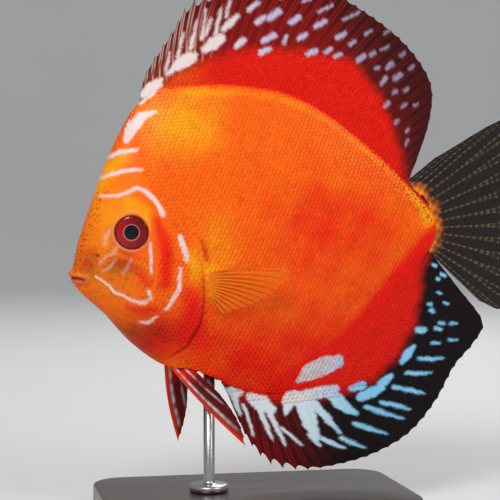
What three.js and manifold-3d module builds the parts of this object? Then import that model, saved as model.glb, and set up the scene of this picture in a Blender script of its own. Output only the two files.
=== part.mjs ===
// A discus fish as a still, life-size museum model, held over a flat base by one slim rod.
// Millimetres, +Z up. The fish looks towards -X and shows its left side towards -Y.
// The origin is the centre of the underside of the base.
//
// The fish is drawn in a frame of its own: u runs from the snout to the tail, w up from the mouth,
// and y across the body. One turned group then sets that frame down at the fish's nose-down pitch.

import * as THREE from 'three';
import { mergeVertices } from 'three/addons/utils/BufferGeometryUtils.js';
import Module from 'manifold-3d';

const wasm = await Module();
wasm.setup();

// Pose and fit
const noseDown = THREE.MathUtils.degToRad(6);
const mouthPlace = new THREE.Vector3(-65, 0, 85);
const seam = 0.3;

// Body: outline from the side, half thickness down the middle, and the blunt edges the fins grow from
const backLine = [[-0.5, 1.0], [0.3, 2.2], [1.2, 3.6], [2.4, 7.6], [4.7, 13.8], [9, 23.4], [14.9, 35.4],
  [21.5, 47], [28.8, 56.2], [35, 60.6], [45, 62.4], [60, 61.4], [72, 59.2], [83, 55.8], [94, 49.2],
  [107, 38], [118, 26.8], [134, 6.8]];
const bellyLine = [[-0.5, -1.2], [0.4, -2.7], [1.4, -4.4], [2.9, -6.4], [6.2, -10.2], [10.1, -14.6],
  [14, -20], [17.2, -24.3], [22.3, -29.6], [27.4, -33.9], [33, -36], [38, -37.2], [44, -40.3],
  [55, -46.8], [63, -49.2], [73, -49.6], [84, -46.2], [95, -38.3], [105, -29], [115, -18.8], [134, -1]];
const middleHalfWidth = [[-0.5, 2.4], [1, 3.4], [4, 4.9], [8, 6.4], [14, 8.2], [22, 10], [32, 11.6],
  [45, 12.8], [60, 13.2], [75, 12.4], [90, 10.4], [105, 7.6], [118, 4.8], [126, 3.3], [134, 2.2]];
const backHalfWidth = [[-0.5, 1.2], [5, 2], [20, 2.6], [31, 2.3], [60, 2.4], [100, 2.1], [134, 1.4]];
const bellyHalfWidth = [[-0.5, 1.2], [8, 2.6], [20, 3.6], [32, 4.4], [44, 4], [51, 2.8], [100, 2.1], [134, 1.4]];
const sectionFullness = 0.82;

// Mouth, gill cover and eye
const mouthCorner = [4.1, -1.8];
const mouthGap = 0.3;
const lipFrontHalf = 1.3;
const lipRolls = [
  { upper: [-0.2, -0.35], lower: [-0.05, -0.65], side: 3.9, share: 0.92 },
  { upper: [-0.6, 0.15], lower: [0, -1.15], side: 3.5, share: 0.98 },
  { upper: [-0.75, 0.8], lower: [0.1, -1.7], side: 3.3, share: 1 },
  { upper: [-0.5, 1.5], lower: [0.25, -2.25], side: 3.5, share: 1 },
  { upper: [-0.05, 2.05], lower: [0.4, -2.6], side: 3.9, share: 1 },
];
const gillLine = [[30.2, 66], [31.2, 54], [34.5, 38], [37.6, 25], [40, 18], [43.2, 7], [44, -4],
  [43.6, -13], [41.6, -21.5], [36.6, -28.6], [30.4, -32], [26.8, -36.4], [25, -44]];
const coverFront = [[26.8, -28], [24.2, -21], [24.4, -13], [26.2, -7], [27.8, 0], [29, 7], [31.2, 14.5], [35.4, 20.5]];
const coverThickness = 2;
const peduncleLine = [[108, 52], [111.5, 34], [114.5, 14], [117, -4], [118, -18], [118, -34]];
const eyeCentre = [21.3, 13.05];
const eyeRadius = 5.8;
const eyeDepth = 3.4;
const eyeStandOut = 1.1;
const orbitRimRadius = 6.5;
const orbitRimThickness = 0.9;
const nostril = [9.1, 6.2];
const nostrilRadius = 0.75;

// Fins: margins from the side, from the front of each fin round to its rear
const dorsalRoot = [31.4, 123.6];
const dorsalMargin = [[31.6, 63], [34.4, 69], [40.5, 76.6], [45.5, 83], [52, 91], [64.3, 94.8], [79.3, 95.8],
  [91, 94.4], [104.4, 89.4], [116, 81.6], [127, 71.8], [134.6, 61], [137.3, 51.7], [134.7, 40], [128.4, 26.6]];
const dorsalSpines = 9;
const dorsalRays = 22;
const dorsalSplit = 0.33;
const analRoot = [50, 129.2];
const analMargin = [[50.8, -48.4], [53.6, -58.5], [57.4, -68], [64.5, -76], [76, -79], [90, -78.8], [103, -76.6],
  [116, -71.2], [127, -61.2], [135.8, -49], [144, -41.5], [148.2, -34], [140, -20.6], [132.4, -9.2]];
const analSpines = 8;
const analRays = 22;
const analSplit = 0.28;
const tailMargin = [[135.9, 27.6], [166.2, 39.6], [170.4, 27], [172, 12], [171.5, -1], [168.6, -14.4],
  [163.6, -25], [155.8, -30.4], [147.6, -26.4]];
const tailRays = 15;
const finTipHalf = 0.3;
const membraneHalf = 0.26;
const rayRidge = 0.16;

// Paired fins
const pectoralRoot = [[46.2, -3.6], [46.2, -12]];
const pectoralMargin = [[73.4, -5.2], [70.5, -9.4], [64.6, -13.6], [57, -16.8], [49.6, -18.4]];
const pectoralSplay = THREE.MathUtils.degToRad(22);
const pectoralRays = 11;
const pelvicRoot = [29.6, 37.6];
const leftPelvicMargin = [[53.8, -66.3], [53, -60], [50.4, -53.4], [46.4, -46.6]];
const rightPelvicMargin = [[32.3, -64], [35, -57.6], [36.8, -51.4], [37.6, -46]];
const pelvicRays = 6;
const pelvicRootY = 2.6;
const pelvicTipY = 7.6;

// Stand
const baseLength = 110;
const baseWidth = 70;
const baseHeight = 8;
const baseCorner = 12;
const baseBevel = 1.2;
const rodRadius = 2;
const rodFootRadius = 7;
const rodFootHeight = 2.5;
const rodUnder = 44.6;

const finish = {
  skin: { color: 0xd8742a, roughness: 0.45, metalness: 0 },
  cover: { color: 0xe08334, roughness: 0.42, metalness: 0 },
  spiny: { color: 0x9c2a1c, roughness: 0.5, metalness: 0 },
  soft: { color: 0x6e1d18, roughness: 0.5, metalness: 0 },
  tail: { color: 0x4a3c2c, roughness: 0.45, metalness: 0 },
  pectoral: { color: 0xc98a3c, roughness: 0.4, metalness: 0 },
  eye: { color: 0xb3201f, roughness: 0.08, metalness: 0 },
  base: { color: 0x1d1a18, roughness: 0.4, metalness: 0 },
  rod: { color: 0x9a9c9e, roughness: 0.3, metalness: 1 },
};

// A smooth height over x through the points, straight on beyond the last one.
function smoothLine(points) {
  const slope = points.map((p, i) => {
    const a = points[Math.max(i - 1, 0)];
    const b = points[Math.min(i + 1, points.length - 1)];
    return (b[1] - a[1]) / (b[0] - a[0]);
  });
  return (x) => {
    let i = 0;
    while (i < points.length - 2 && x > points[i + 1][0]) i += 1;
    const [x0, y0] = points[i];
    const [x1, y1] = points[i + 1];
    const step = x1 - x0;
    const t = (x - x0) / step;
    if (t < 0) return y0 + slope[i] * (x - x0);
    if (t > 1) return y1 + slope[i + 1] * (x - x1);
    const bend0 = slope[i] * step * t * (1 - t) ** 2;
    const bend1 = slope[i + 1] * step * t * t * (t - 1);
    return y0 + (y1 - y0) * t * t * (3 - 2 * t) + bend0 + bend1;
  };
}

// A smooth route through the points; at(t) walks it at an even pace, t from 0 to 1.
function smoothRoute(points) {
  const curve = new THREE.SplineCurve(points.map(([x, y]) => new THREE.Vector2(x, y)));
  curve.arcLengthDivisions = 400;
  return (t) => {
    const p = curve.getPointAt(THREE.MathUtils.clamp(t, 0, 1));
    return [p.x, p.y];
  };
}

function mix(a, b, t) {
  return a + (b - a) * t;
}

// A closed mesh from points and triangles, turned so that its faces look out.
function closedMesh(points, triangles) {
  const geometry = new THREE.BufferGeometry();
  geometry.setAttribute('position', new THREE.Float32BufferAttribute(points.flat(), 3));
  let volume = 0;
  const [a, b, c] = [new THREE.Vector3(), new THREE.Vector3(), new THREE.Vector3()];
  for (const [i, j, k] of triangles) {
    a.fromArray(points[i]);
    b.fromArray(points[j]);
    c.fromArray(points[k]);
    volume += a.dot(b.cross(c));
  }
  const out = volume > 0 ? triangles : triangles.map(([i, j, k]) => [i, k, j]);
  geometry.setIndex(out.flat());
  return geometry;
}

// A closed geometry as a solid, and a solid back as a geometry.
function solidOf(geometry) {
  const bare = geometry.clone();
  bare.deleteAttribute('normal');
  bare.deleteAttribute('uv');
  const merged = mergeVertices(bare, 1e-4);
  return new wasm.Manifold(new wasm.Mesh({
    numProp: 3,
    vertProperties: merged.attributes.position.array,
    triVerts: new Uint32Array(merged.index.array),
  }));
}

// Corners that a cut leaves closer than the weld are made one, and the slivers between them go.
const weld = 0.001;

function geometryOf(solid) {
  const mesh = solid.getMesh();
  const cut = new THREE.BufferGeometry();
  cut.setAttribute('position', new THREE.BufferAttribute(new Float32Array(mesh.vertProperties), 3));
  cut.setIndex(new THREE.BufferAttribute(new Uint32Array(mesh.triVerts), 1));
  const geometry = mergeVertices(cut, weld);
  const corners = Array.from(geometry.index.array);
  const kept = [];
  for (let i = 0; i < corners.length; i += 3) {
    const [a, b, c] = corners.slice(i, i + 3);
    if (a !== b && b !== c && c !== a) kept.push(a, b, c);
  }
  geometry.setIndex(kept);
  return geometry;
}

function largestOf(solid) {
  return solid.decompose().reduce((best, piece) => (piece.volume() > best.volume() ? piece : best));
}

// Body surface: half the thickness of the fish at a place on its side.
const backHeight = smoothLine(backLine);
const bellyHeight = smoothLine(bellyLine);
const middleHalf = smoothLine(middleHalfWidth);
const backHalf = smoothLine(backHalfWidth);
const bellyHalf = smoothLine(bellyHalfWidth);

function bodyHalf(u, w) {
  const top = backHeight(u);
  const bottom = bellyHeight(u);
  const v = THREE.MathUtils.clamp((2 * w - top - bottom) / (top - bottom), -1, 1);
  const edge = mix(bellyHalf(u), backHalf(u), (1 + v) / 2);
  return edge + (middleHalf(u) - edge) * (1 - v * v) ** sectionFullness;
}

// Hoops round the body. Each starts on the back and ends on the belly, and is swept back at its middle:
// round the corner of the mouth in front, and round the end of the tail's root behind.
const hoopSteps = 16;
const tailEnd = { back: 124.2, belly: 130, sweep: 5.4, middle: 6.6 };
const hoopPlaces = [0.7, 1.4, 2.4, 3.8, 5.6, 7.8, 10.4, 13.4, 17, 21, 25, 29, 33, 37, 41.5, 46.5, 52,
  58, 64, 70, 76, 82, 88, 94, 100, 106, 111, 115.5, 119.5];

function hoopAt(place) {
  const front = THREE.MathUtils.smoothstep(place, 0, 16);
  const rear = THREE.MathUtils.smoothstep(place, 104, tailEnd.back);
  const back = place;
  const belly = mix(place, place + tailEnd.belly - tailEnd.back, rear);
  const lip = (1 - front) * (mouthCorner[0] - 0.4);
  const middleOfSide = (backHeight(place) + bellyHeight(place)) / 2;
  const middle = mix(mouthCorner[1], middleOfSide, front);
  return { back, belly, sweep: lip + rear * tailEnd.sweep, middle: mix(middle, tailEnd.middle, rear) };
}

function hoopPoint(hoop, turn) {
  const down = (1 - Math.cos(turn)) / 2;
  const u = mix(hoop.back, hoop.belly, down) + hoop.sweep * Math.sin(turn) ** 2;
  const end = Math.cos(turn) > 0 ? backHeight(hoop.back) : bellyHeight(hoop.belly);
  return [u, hoop.middle + (end - hoop.middle) * Math.abs(Math.cos(turn))];
}

// The slit between the lips, closing towards its corners and its depth.
function slitPoint(turn, depth, gap, narrowing) {
  const u = 0.5 + depth + (mouthCorner[0] - 0.5) * Math.sin(turn) ** 2;
  const line = (mouthCorner[1] / mouthCorner[0]) * Math.min(u - depth, mouthCorner[0]);
  const w = line + gap * Math.cos(turn);
  return [u, w, bodyHalf(u, w) * narrowing];
}

// One roll of the lips, from the front of the upper lip round the mouth's corner to the front of the lower.
function lipPoint(roll, turn) {
  const [endU, endW] = Math.cos(turn) > 0 ? roll.upper : roll.lower;
  const u = mix(endU, roll.side, Math.sin(turn) ** 2);
  const w = mix(mouthCorner[1], endW, Math.abs(Math.cos(turn)));
  const sideHalf = bodyHalf(roll.side, mouthCorner[1]) * roll.share;
  return [u, w, mix(lipFrontHalf * roll.share, sideHalf, Math.sin(turn) ** 0.85)];
}

// The whole body, grown or shrunk by an amount across and at its edges.
function bodySolid(across, edges) {
  const hoops = [];
  const addHoop = (place) => {
    const half = [];
    for (let j = 0; j <= hoopSteps; j += 1) half.push(place((Math.PI * j) / hoopSteps));
    const left = half.map(([u, w, y]) => [u, -y, w]);
    const right = half.map(([u, w, y]) => [u, y, w]).reverse();
    hoops.push([...left, ...right]);
  };
  addHoop((turn) => slitPoint(turn, 3.2, mouthGap * 0.6, 0.55));
  addHoop((turn) => slitPoint(turn, 1.2, mouthGap, 0.78));
  addHoop((turn) => slitPoint(turn, 0.1, mouthGap * 1.2, 0.88));
  for (const roll of lipRolls) {
    addHoop((turn) => {
      const [u, w, y] = lipPoint(roll, turn);
      return [u, w, Math.max(y + across, 0.4)];
    });
  }
  const outside = hoopPlaces.map(hoopAt);
  outside.push({ ...tailEnd, back: tailEnd.back + edges, belly: tailEnd.belly + edges });
  for (const hoop of outside) {
    addHoop((turn) => {
      const [u, w] = hoopPoint(hoop, turn);
      const lift = edges * Math.cos(turn);
      return [u, w + lift, Math.max(bodyHalf(u, w) + across, 0.4)];
    });
  }
  return loft(hoops);
}

// Hoops joined in order, with a strip across the first and the last.
function loft(hoops) {
  const n = hoops[0].length;
  const points = hoops.flat();
  const triangles = [];
  for (let k = 0; k + 1 < hoops.length; k += 1) {
    for (let i = 0; i < n; i += 1) {
      const [a, b] = [k * n + i, k * n + ((i + 1) % n)];
      triangles.push([a, b, b + n], [a, b + n, a + n]);
    }
  }
  const last = (hoops.length - 1) * n;
  for (let i = 0; i + 1 < n / 2; i += 1) {
    const [near, nearNext, far, farNext] = [i, i + 1, n - 1 - i, n - 2 - i];
    triangles.push([near, far, farNext], [near, farNext, nearNext]);
    triangles.push([last + near, last + farNext, last + far], [last + near, last + nearNext, last + farNext]);
  }
  return solidOf(closedMesh(points, triangles));
}

// A side outline pushed through the fish from one depth to another.
function throughCut(outline, fromY, toY) {
  const shape = new THREE.Shape(outline.map(([u, w]) => new THREE.Vector2(u, w)));
  const block = new THREE.ExtrudeGeometry(shape, { depth: toY - fromY, bevelEnabled: false });
  block.rotateX(Math.PI / 2);
  block.translate(0, toY, 0);
  return solidOf(block);
}

// A route moved sideways by a distance, to the right of its direction of travel.
function besideRoute(points, distance) {
  return points.map((p, i) => {
    const a = points[Math.max(i - 1, 0)];
    const b = points[Math.min(i + 1, points.length - 1)];
    const length = Math.hypot(b[0] - a[0], b[1] - a[1]);
    return [p[0] + ((b[1] - a[1]) / length) * distance, p[1] - ((b[0] - a[0]) / length) * distance];
  });
}

function sampled(points, count) {
  const at = smoothRoute(points);
  return Array.from({ length: count + 1 }, (_, i) => at(i / count));
}

// A thin fin between two faces that are split alike. Ray columns stand out from the membrane.
// place(s, t) gives the middle of the fin, s across the rays and t from root to tip.
function finSolid({ rays, rows, place, rootHalf, side, notch, taper }) {
  const columns = 2 * (rays - 1);
  const points = [];
  const triangles = [];
  for (const face of [-1, 1]) {
    for (let c = 0; c <= columns; c += 1) {
      const s = c / columns;
      const between = c % 2 === 1;
      for (let r = 0; r <= rows; r += 1) {
        const t = (r / rows) * (between ? 1 - notch(s) : 1);
        const tipHalf = between ? membraneHalf : finTipHalf;
        const ridge = between ? 0 : rayRidge * (1 - t * 0.7) * Math.min(1, t * 6);
        const half = tipHalf + (rootHalf(s) - tipHalf) * (1 - t) ** taper + ridge;
        const middle = place(s, t);
        points.push([middle[0] + side[0] * half * face, middle[1] + side[1] * half * face,
          middle[2] + side[2] * half * face]);
      }
    }
  }
  const rowCount = rows + 1;
  const farFace = (columns + 1) * rowCount;
  const quad = (a, b, c, d) => triangles.push([a, b, c], [a, c, d]);
  for (let c = 0; c < columns; c += 1) {
    for (let r = 0; r < rows; r += 1) {
      const at = c * rowCount + r;
      quad(at, at + rowCount, at + rowCount + 1, at + 1);
      triangles.push([at + farFace, at + farFace + rowCount + 1, at + farFace + rowCount]);
      triangles.push([at + farFace, at + farFace + 1, at + farFace + rowCount + 1]);
    }
    const root = c * rowCount;
    const tip = root + rows;
    quad(root, root + farFace, root + farFace + rowCount, root + rowCount);
    quad(tip + rowCount, tip + rowCount + farFace, tip + farFace, tip);
  }
  for (let r = 0; r < rows; r += 1) {
    const rear = columns * rowCount + r;
    quad(r, r + 1, r + 1 + farFace, r + farFace);
    quad(rear, rear + farFace, rear + farFace + 1, rear + 1);
  }
  return closedMesh(points, triangles);
}

// The whole fish's flesh, parted along the gill opening and ahead of the tail's root.
const reach = 200;
const wholeBody = bodySolid(0, 0);
const grownBody = bodySolid(seam, seam);
const gillRoute = sampled(gillLine, 22);
const peduncleRoute = sampled(peduncleLine, 8);
const around = (route, end) => [...route, [route.at(-1)[0], -reach], [end, -reach], [end, reach],
  [route[0][0], reach]];
const ahead = (route) => around(route, -reach);
const behind = (route) => around(route, reach);
const headBlock = throughCut(ahead(gillRoute), -40, 40);
const bodyBlock = throughCut(behind(besideRoute(gillRoute, -seam)), -40, 40);
const trunkBlock = throughCut(ahead(peduncleRoute), -40, 40);
const tailBlock = throughCut(behind(besideRoute(peduncleRoute, -seam)), -40, 40);

function sideNormal(u, w) {
  const step = 0.5;
  const slopeU = (bodyHalf(u + step, w) - bodyHalf(u - step, w)) / (2 * step);
  const slopeW = (bodyHalf(u, w + step) - bodyHalf(u, w - step)) / (2 * step);
  return new THREE.Vector3(-slopeU, 1, -slopeW).normalize();
}

// A round thing on the side of the fish, its own axis turned along the skin's normal.
function onSide(geometry, [u, w], side, out) {
  const normal = sideNormal(u, w);
  normal.y *= side;
  const turn = new THREE.Quaternion().setFromUnitVectors(new THREE.Vector3(0, 1, 0), normal);
  const place = new THREE.Vector3(u, side * bodyHalf(u, w), w).addScaledVector(normal, out);
  geometry.applyMatrix4(new THREE.Matrix4().compose(place, turn, new THREE.Vector3(1, 1, 1)));
  return geometry;
}

// Eye: a flattened ball in a socket, with the orbit's rim raised round it.
function eyeBall(side, grow) {
  const ball = new THREE.SphereGeometry(1, 20, 10);
  ball.scale(eyeRadius + grow, eyeDepth + grow, eyeRadius + grow);
  return onSide(ball, eyeCentre, side, eyeStandOut - eyeDepth);
}

function orbitRim(side) {
  const outer = orbitRimRadius + orbitRimThickness;
  const profile = [[orbitRimRadius - orbitRimThickness, -1.6], [outer, -1.6], [outer - 0.15, 0.1],
    [orbitRimRadius + 0.3, orbitRimThickness * 0.7], [orbitRimRadius - 0.4, orbitRimThickness * 0.55],
    [orbitRimRadius - orbitRimThickness, 0], [orbitRimRadius - orbitRimThickness, -1.6]];
  return onSide(new THREE.LatheGeometry(profile.map(([r, h]) => new THREE.Vector2(r, h)), 24), eyeCentre, side, 0);
}

function gillCoverOutline(grow) {
  const front = besideRoute(sampled(coverFront, 12), -grow);
  const rear = besideRoute(gillRoute.filter(([, w]) => w < 21 && w > -30), grow ? -3 : 0);
  return [...front, ...rear];
}

function headSolid() {
  let head = wholeBody.intersect(headBlock);
  const core = bodySolid(-coverThickness - seam, -1);
  for (const side of [-1, 1]) {
    const [low, high] = side < 0 ? [-40, 0] : [0, 40];
    const pocket = throughCut(gillCoverOutline(seam), low, high).subtract(core);
    const pit = onSide(new THREE.SphereGeometry(nostrilRadius, 10, 8), nostril, side, 0);
    head = head.subtract(pocket).add(solidOf(orbitRim(side)));
    head = head.subtract(solidOf(eyeBall(side, seam))).subtract(solidOf(pit));
  }
  return largestOf(head);
}

function gillCover(side) {
  const [low, high] = side < 0 ? [-40, 0] : [0, 40];
  const core = bodySolid(-coverThickness, -1);
  return largestOf(wholeBody.intersect(throughCut(gillCoverOutline(0), low, high)).subtract(core));
}

// Median fins: a ray's root lies just over the body's edge, its tip on the fin's margin.
function medianFin({ height, over, root, margin, from, to, rays, lead, notch, rootHalf, bow }) {
  const tipAt = smoothRoute(margin);
  const place = (s, t) => {
    const along = mix(from, to, s);
    const u = mix(root[0], root[1], along);
    const slope = (height(u + 0.5) - height(u - 0.5)) / 1;
    const length = Math.hypot(slope, 1);
    const rootU = u - (over * slope * seam) / length;
    const rootW = height(u) + (over * seam) / length;
    const [tipU, tipW] = tipAt(along + lead * along * (1 - along) ** 3);
    const curve = bow * Math.sin(Math.PI * t) * (tipW - rootW);
    return [mix(rootU, tipU, t) - Math.abs(curve), 0, mix(rootW, tipW, t)];
  };
  return finSolid({ rays, rows: 6, place, rootHalf, side: [0, 1, 0], notch, taper: 1.7 });
}

function dorsalFin(from, to, rays, notch) {
  return medianFin({
    height: backHeight, over: 1, root: dorsalRoot, margin: dorsalMargin, from, to, rays, notch,
    lead: 0.4, bow: 0.05, rootHalf: (s) => mix(2, 1.5, mix(from, to, s)),
  });
}

function analFin(from, to, rays, notch) {
  return medianFin({
    height: bellyHeight, over: -1, root: analRoot, margin: analMargin, from, to, rays, notch,
    lead: 0.2, bow: 0.05, rootHalf: (s) => mix(2.2, 1.3, mix(from, to, s)),
  });
}

function tailFin() {
  const tipAt = smoothRoute(tailMargin);
  const place = (s, t) => {
    const [rootU, rootW] = hoopPoint(tailEnd, Math.PI * mix(0.03, 0.97, s));
    const [tipU, tipW] = tipAt(s);
    return [mix(rootU + seam, tipU, t), 0, mix(rootW, tipW, t)];
  };
  return finSolid({
    rays: tailRays, rows: 7, place, rootHalf: () => 1.3, side: [0, 1, 0], notch: () => 0.012, taper: 2.2,
  });
}

// Pectoral fin: rooted in the flank behind the gill cover, and spread away from the body.
function pectoralFin(side) {
  const tipAt = smoothRoute(pectoralMargin);
  const rootY = bodyHalf(pectoralRoot[0][0], (pectoralRoot[0][1] + pectoralRoot[1][1]) / 2);
  const rootSink = 1.4;
  const place = (s, t) => {
    const rootU = mix(pectoralRoot[0][0], pectoralRoot[1][0], s);
    const rootW = mix(pectoralRoot[0][1], pectoralRoot[1][1], s);
    const [tipU, tipW] = tipAt(s);
    const u = mix(rootU, tipU, t);
    const w = mix(rootW, tipW, t) + 1.2 * Math.sin(Math.PI * t) * (1 - s);
    const y = rootY - rootSink + (u - rootU + 2) * Math.tan(pectoralSplay);
    return [u, side * y, w];
  };
  const outward = [-Math.sin(pectoralSplay), side * Math.cos(pectoralSplay), 0];
  const blade = finSolid({
    rays: pectoralRays, rows: 6, place, rootHalf: () => 0.8, side: outward, notch: () => 0.02, taper: 2.4,
  });
  return largestOf(solidOf(blade).subtract(grownBody));
}

// Pelvic fin: hung from the flat of the belly, trailing down and back.
function pelvicFin(side, margin) {
  const tipAt = smoothRoute(margin);
  const place = (s, t) => {
    const rootU = mix(pelvicRoot[0], pelvicRoot[1], s);
    const [tipU, tipW] = tipAt(s);
    const y = mix(pelvicRootY, pelvicTipY, t * t * 0.6 + t * 0.4);
    const sag = Math.sin(Math.PI * t) * (1 - s);
    return [mix(rootU, tipU, t) - 1.2 * sag, side * y, mix(bellyHeight(rootU) - seam, tipW, t)];
  };
  return finSolid({
    rays: pelvicRays, rows: 6, place, rootHalf: () => 1, side: [0, 1, 0], notch: () => 0.02, taper: 1.6,
  });
}

// Stand: a flat base with rounded corners, and a rod with a round foot.
function standBase() {
  const [x, y, r] = [baseLength / 2 - baseBevel, baseWidth / 2 - baseBevel, baseCorner];
  const plan = new THREE.Shape();
  plan.moveTo(-x + r, -y);
  plan.lineTo(x - r, -y);
  plan.absarc(x - r, -y + r, r, -Math.PI / 2, 0);
  plan.absarc(x - r, y - r, r, 0, Math.PI / 2);
  plan.absarc(-x + r, y - r, r, Math.PI / 2, Math.PI);
  plan.absarc(-x + r, -y + r, r, Math.PI, Math.PI * 1.5);
  const slab = new THREE.ExtrudeGeometry(plan, {
    depth: baseHeight - 2 * baseBevel, bevelEnabled: true, bevelSize: baseBevel, bevelThickness: baseBevel,
    bevelSegments: 2, curveSegments: 5,
  });
  slab.translate(0, 0, baseBevel);
  return slab;
}

function fishMatrix() {
  const turn = new THREE.Quaternion().setFromAxisAngle(new THREE.Vector3(0, 1, 0), -noseDown);
  return new THREE.Matrix4().compose(mouthPlace, turn, new THREE.Vector3(1, 1, 1));
}

function standRod() {
  const belly = new THREE.Vector3(rodUnder, 0, bellyHeight(rodUnder)).applyMatrix4(fishMatrix());
  const foot = baseHeight + seam;
  const profile = [[0, 0], [rodFootRadius, 0], [rodFootRadius, rodFootHeight - 0.8],
    [rodFootRadius - 0.8, rodFootHeight], [rodRadius, rodFootHeight], [rodRadius, belly.z - foot + 4],
    [0, belly.z - foot + 4]].map(([r, z]) => new THREE.Vector2(r, z));
  const rod = new THREE.LatheGeometry(profile, 24);
  rod.rotateX(Math.PI / 2);
  rod.translate(belly.x, 0, foot);
  const flesh = solidOf(geometryOf(grownBody).applyMatrix4(fishMatrix()));
  return largestOf(solidOf(rod).subtract(flesh));
}

const fish = new THREE.Group();
fish.position.copy(mouthPlace);
fish.rotation.y = -noseDown;
const model = new THREE.Group();
model.add(fish);

function addPiece(group, name, geometry, look) {
  const mesh = new THREE.Mesh(geometry, new THREE.MeshStandardMaterial(look));
  mesh.name = name;
  group.add(mesh);
}

const trunk = largestOf(wholeBody.intersect(bodyBlock).intersect(trunkBlock));
const tailRoot = largestOf(wholeBody.intersect(tailBlock));
addPiece(fish, 'head', geometryOf(headSolid()), finish.skin);
addPiece(fish, 'gill_cover_left', geometryOf(gillCover(-1)), finish.cover);
addPiece(fish, 'gill_cover_right', geometryOf(gillCover(1)), finish.cover);
addPiece(fish, 'torso', geometryOf(trunk), finish.skin);
addPiece(fish, 'tail_peduncle', geometryOf(tailRoot), finish.skin);
addPiece(fish, 'eye_left', eyeBall(-1, 0), finish.eye);
addPiece(fish, 'eye_right', eyeBall(1, 0), finish.eye);

const serrated = (s) => 0.07 * (1 - 0.4 * s);
const scalloped = () => 0.015;
const dorsalGap = 0.004;
const analGap = 0.005;
addPiece(fish, 'dorsal_fin_spiny', dorsalFin(0, dorsalSplit - dorsalGap, dorsalSpines, serrated), finish.spiny);
addPiece(fish, 'dorsal_fin_soft', dorsalFin(dorsalSplit, 1, dorsalRays, scalloped), finish.soft);
addPiece(fish, 'anal_fin_spiny', analFin(0, analSplit - analGap, analSpines, serrated), finish.spiny);
addPiece(fish, 'anal_fin_soft', analFin(analSplit, 1, analRays, scalloped), finish.soft);
addPiece(fish, 'caudal_fin', tailFin(), finish.tail);
addPiece(fish, 'pectoral_fin_left', geometryOf(pectoralFin(-1)), finish.pectoral);
addPiece(fish, 'pectoral_fin_right', geometryOf(pectoralFin(1)), finish.pectoral);
addPiece(fish, 'pelvic_fin_left', pelvicFin(-1, leftPelvicMargin), finish.spiny);
addPiece(fish, 'pelvic_fin_right', pelvicFin(1, rightPelvicMargin), finish.spiny);
addPiece(model, 'stand_base', standBase(), finish.base);
addPiece(model, 'stand_rod', geometryOf(standRod()), finish.rod);

export default model;
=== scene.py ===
import math

import bpy
import numpy as np
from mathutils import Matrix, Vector
from mathutils.bvhtree import BVHTree


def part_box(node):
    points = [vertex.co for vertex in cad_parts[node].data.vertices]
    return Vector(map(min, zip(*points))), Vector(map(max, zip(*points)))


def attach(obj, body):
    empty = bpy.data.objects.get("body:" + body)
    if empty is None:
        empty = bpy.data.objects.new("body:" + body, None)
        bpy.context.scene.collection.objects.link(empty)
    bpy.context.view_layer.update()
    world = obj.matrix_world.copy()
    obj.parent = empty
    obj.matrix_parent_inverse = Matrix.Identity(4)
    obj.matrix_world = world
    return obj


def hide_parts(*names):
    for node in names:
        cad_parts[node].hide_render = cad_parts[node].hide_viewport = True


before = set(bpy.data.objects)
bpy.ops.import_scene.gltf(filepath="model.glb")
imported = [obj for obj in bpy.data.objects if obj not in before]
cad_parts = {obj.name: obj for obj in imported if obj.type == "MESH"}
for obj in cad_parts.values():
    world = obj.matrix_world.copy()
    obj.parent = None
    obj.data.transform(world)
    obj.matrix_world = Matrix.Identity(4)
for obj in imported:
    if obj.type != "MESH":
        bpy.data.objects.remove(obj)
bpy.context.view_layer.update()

# The camera.
# It stands to the fish's left, a little ahead of it and a little above, with the photograph's framing.
camera_azimuth = math.radians(-12)
camera_climb = math.radians(2)
camera_distance = 0.56
camera_aim = Vector((-0.00155, 0, 0.09355))
width_in_view = 0.1776
sensor_width = 36

camera_data = bpy.data.cameras.new("camera")
camera_data.sensor_width = sensor_width
camera_data.lens = sensor_width * camera_distance / width_in_view
camera = bpy.data.objects.new("camera", camera_data)
camera_back = Vector((
    math.sin(camera_azimuth) * math.cos(camera_climb),
    -math.cos(camera_azimuth) * math.cos(camera_climb),
    math.sin(camera_climb),
))
camera.location = camera_aim + camera_back * camera_distance
camera.rotation_euler = (-camera_back).to_track_quat("-Z", "Y").to_euler()
bpy.context.collection.objects.link(camera)
bpy.context.scene.camera = camera
bpy.context.scene.view_settings.view_transform = "Standard"

# The body's skin.
# The flesh from the lips to the root of the tail is one closed skin, drawn in the fish's own frame
# in millimetres: u from snout to tail, y across, w up from the mouth, then pitched nose down.
nose_down = math.radians(6)
mouth_place = (-65.0, 0.0, 85.0)
back_line = [(-0.5, 1.0), (0.3, 2.2), (1.2, 3.6), (2.4, 7.6), (4.7, 13.8), (9, 23.4), (14.9, 35.4),
             (21.5, 47), (28.8, 56.2), (35, 60.6), (45, 62.4), (60, 61.4), (72, 59.2), (83, 55.8),
             (94, 49.2), (107, 38), (118, 26.8), (134, 6.8)]
belly_line = [(-0.5, -1.2), (0.4, -2.7), (1.4, -4.4), (2.9, -6.4), (6.2, -10.2), (10.1, -14.6),
              (14, -20), (17.2, -24.3), (22.3, -29.6), (27.4, -33.9), (33, -36), (38, -37.2),
              (44, -40.3), (55, -46.8), (63, -49.2), (73, -49.6), (84, -46.2), (95, -38.3), (105, -29),
              (115, -18.8), (134, -1)]
middle_half_width = [(-0.5, 2.4), (1, 3.4), (4, 4.9), (8, 6.4), (14, 8.2), (22, 10), (32, 11.6),
                     (45, 12.8), (60, 13.2), (75, 12.4), (90, 10.4), (105, 7.6), (118, 4.8), (126, 3.3),
                     (134, 2.2)]
back_half_width = [(-0.5, 1.2), (5, 2), (20, 2.6), (31, 2.3), (60, 2.4), (100, 2.1), (134, 1.4)]
belly_half_width = [(-0.5, 1.2), (8, 2.6), (20, 3.6), (32, 4.4), (44, 4), (51, 2.8), (100, 2.1), (134, 1.4)]
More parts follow.
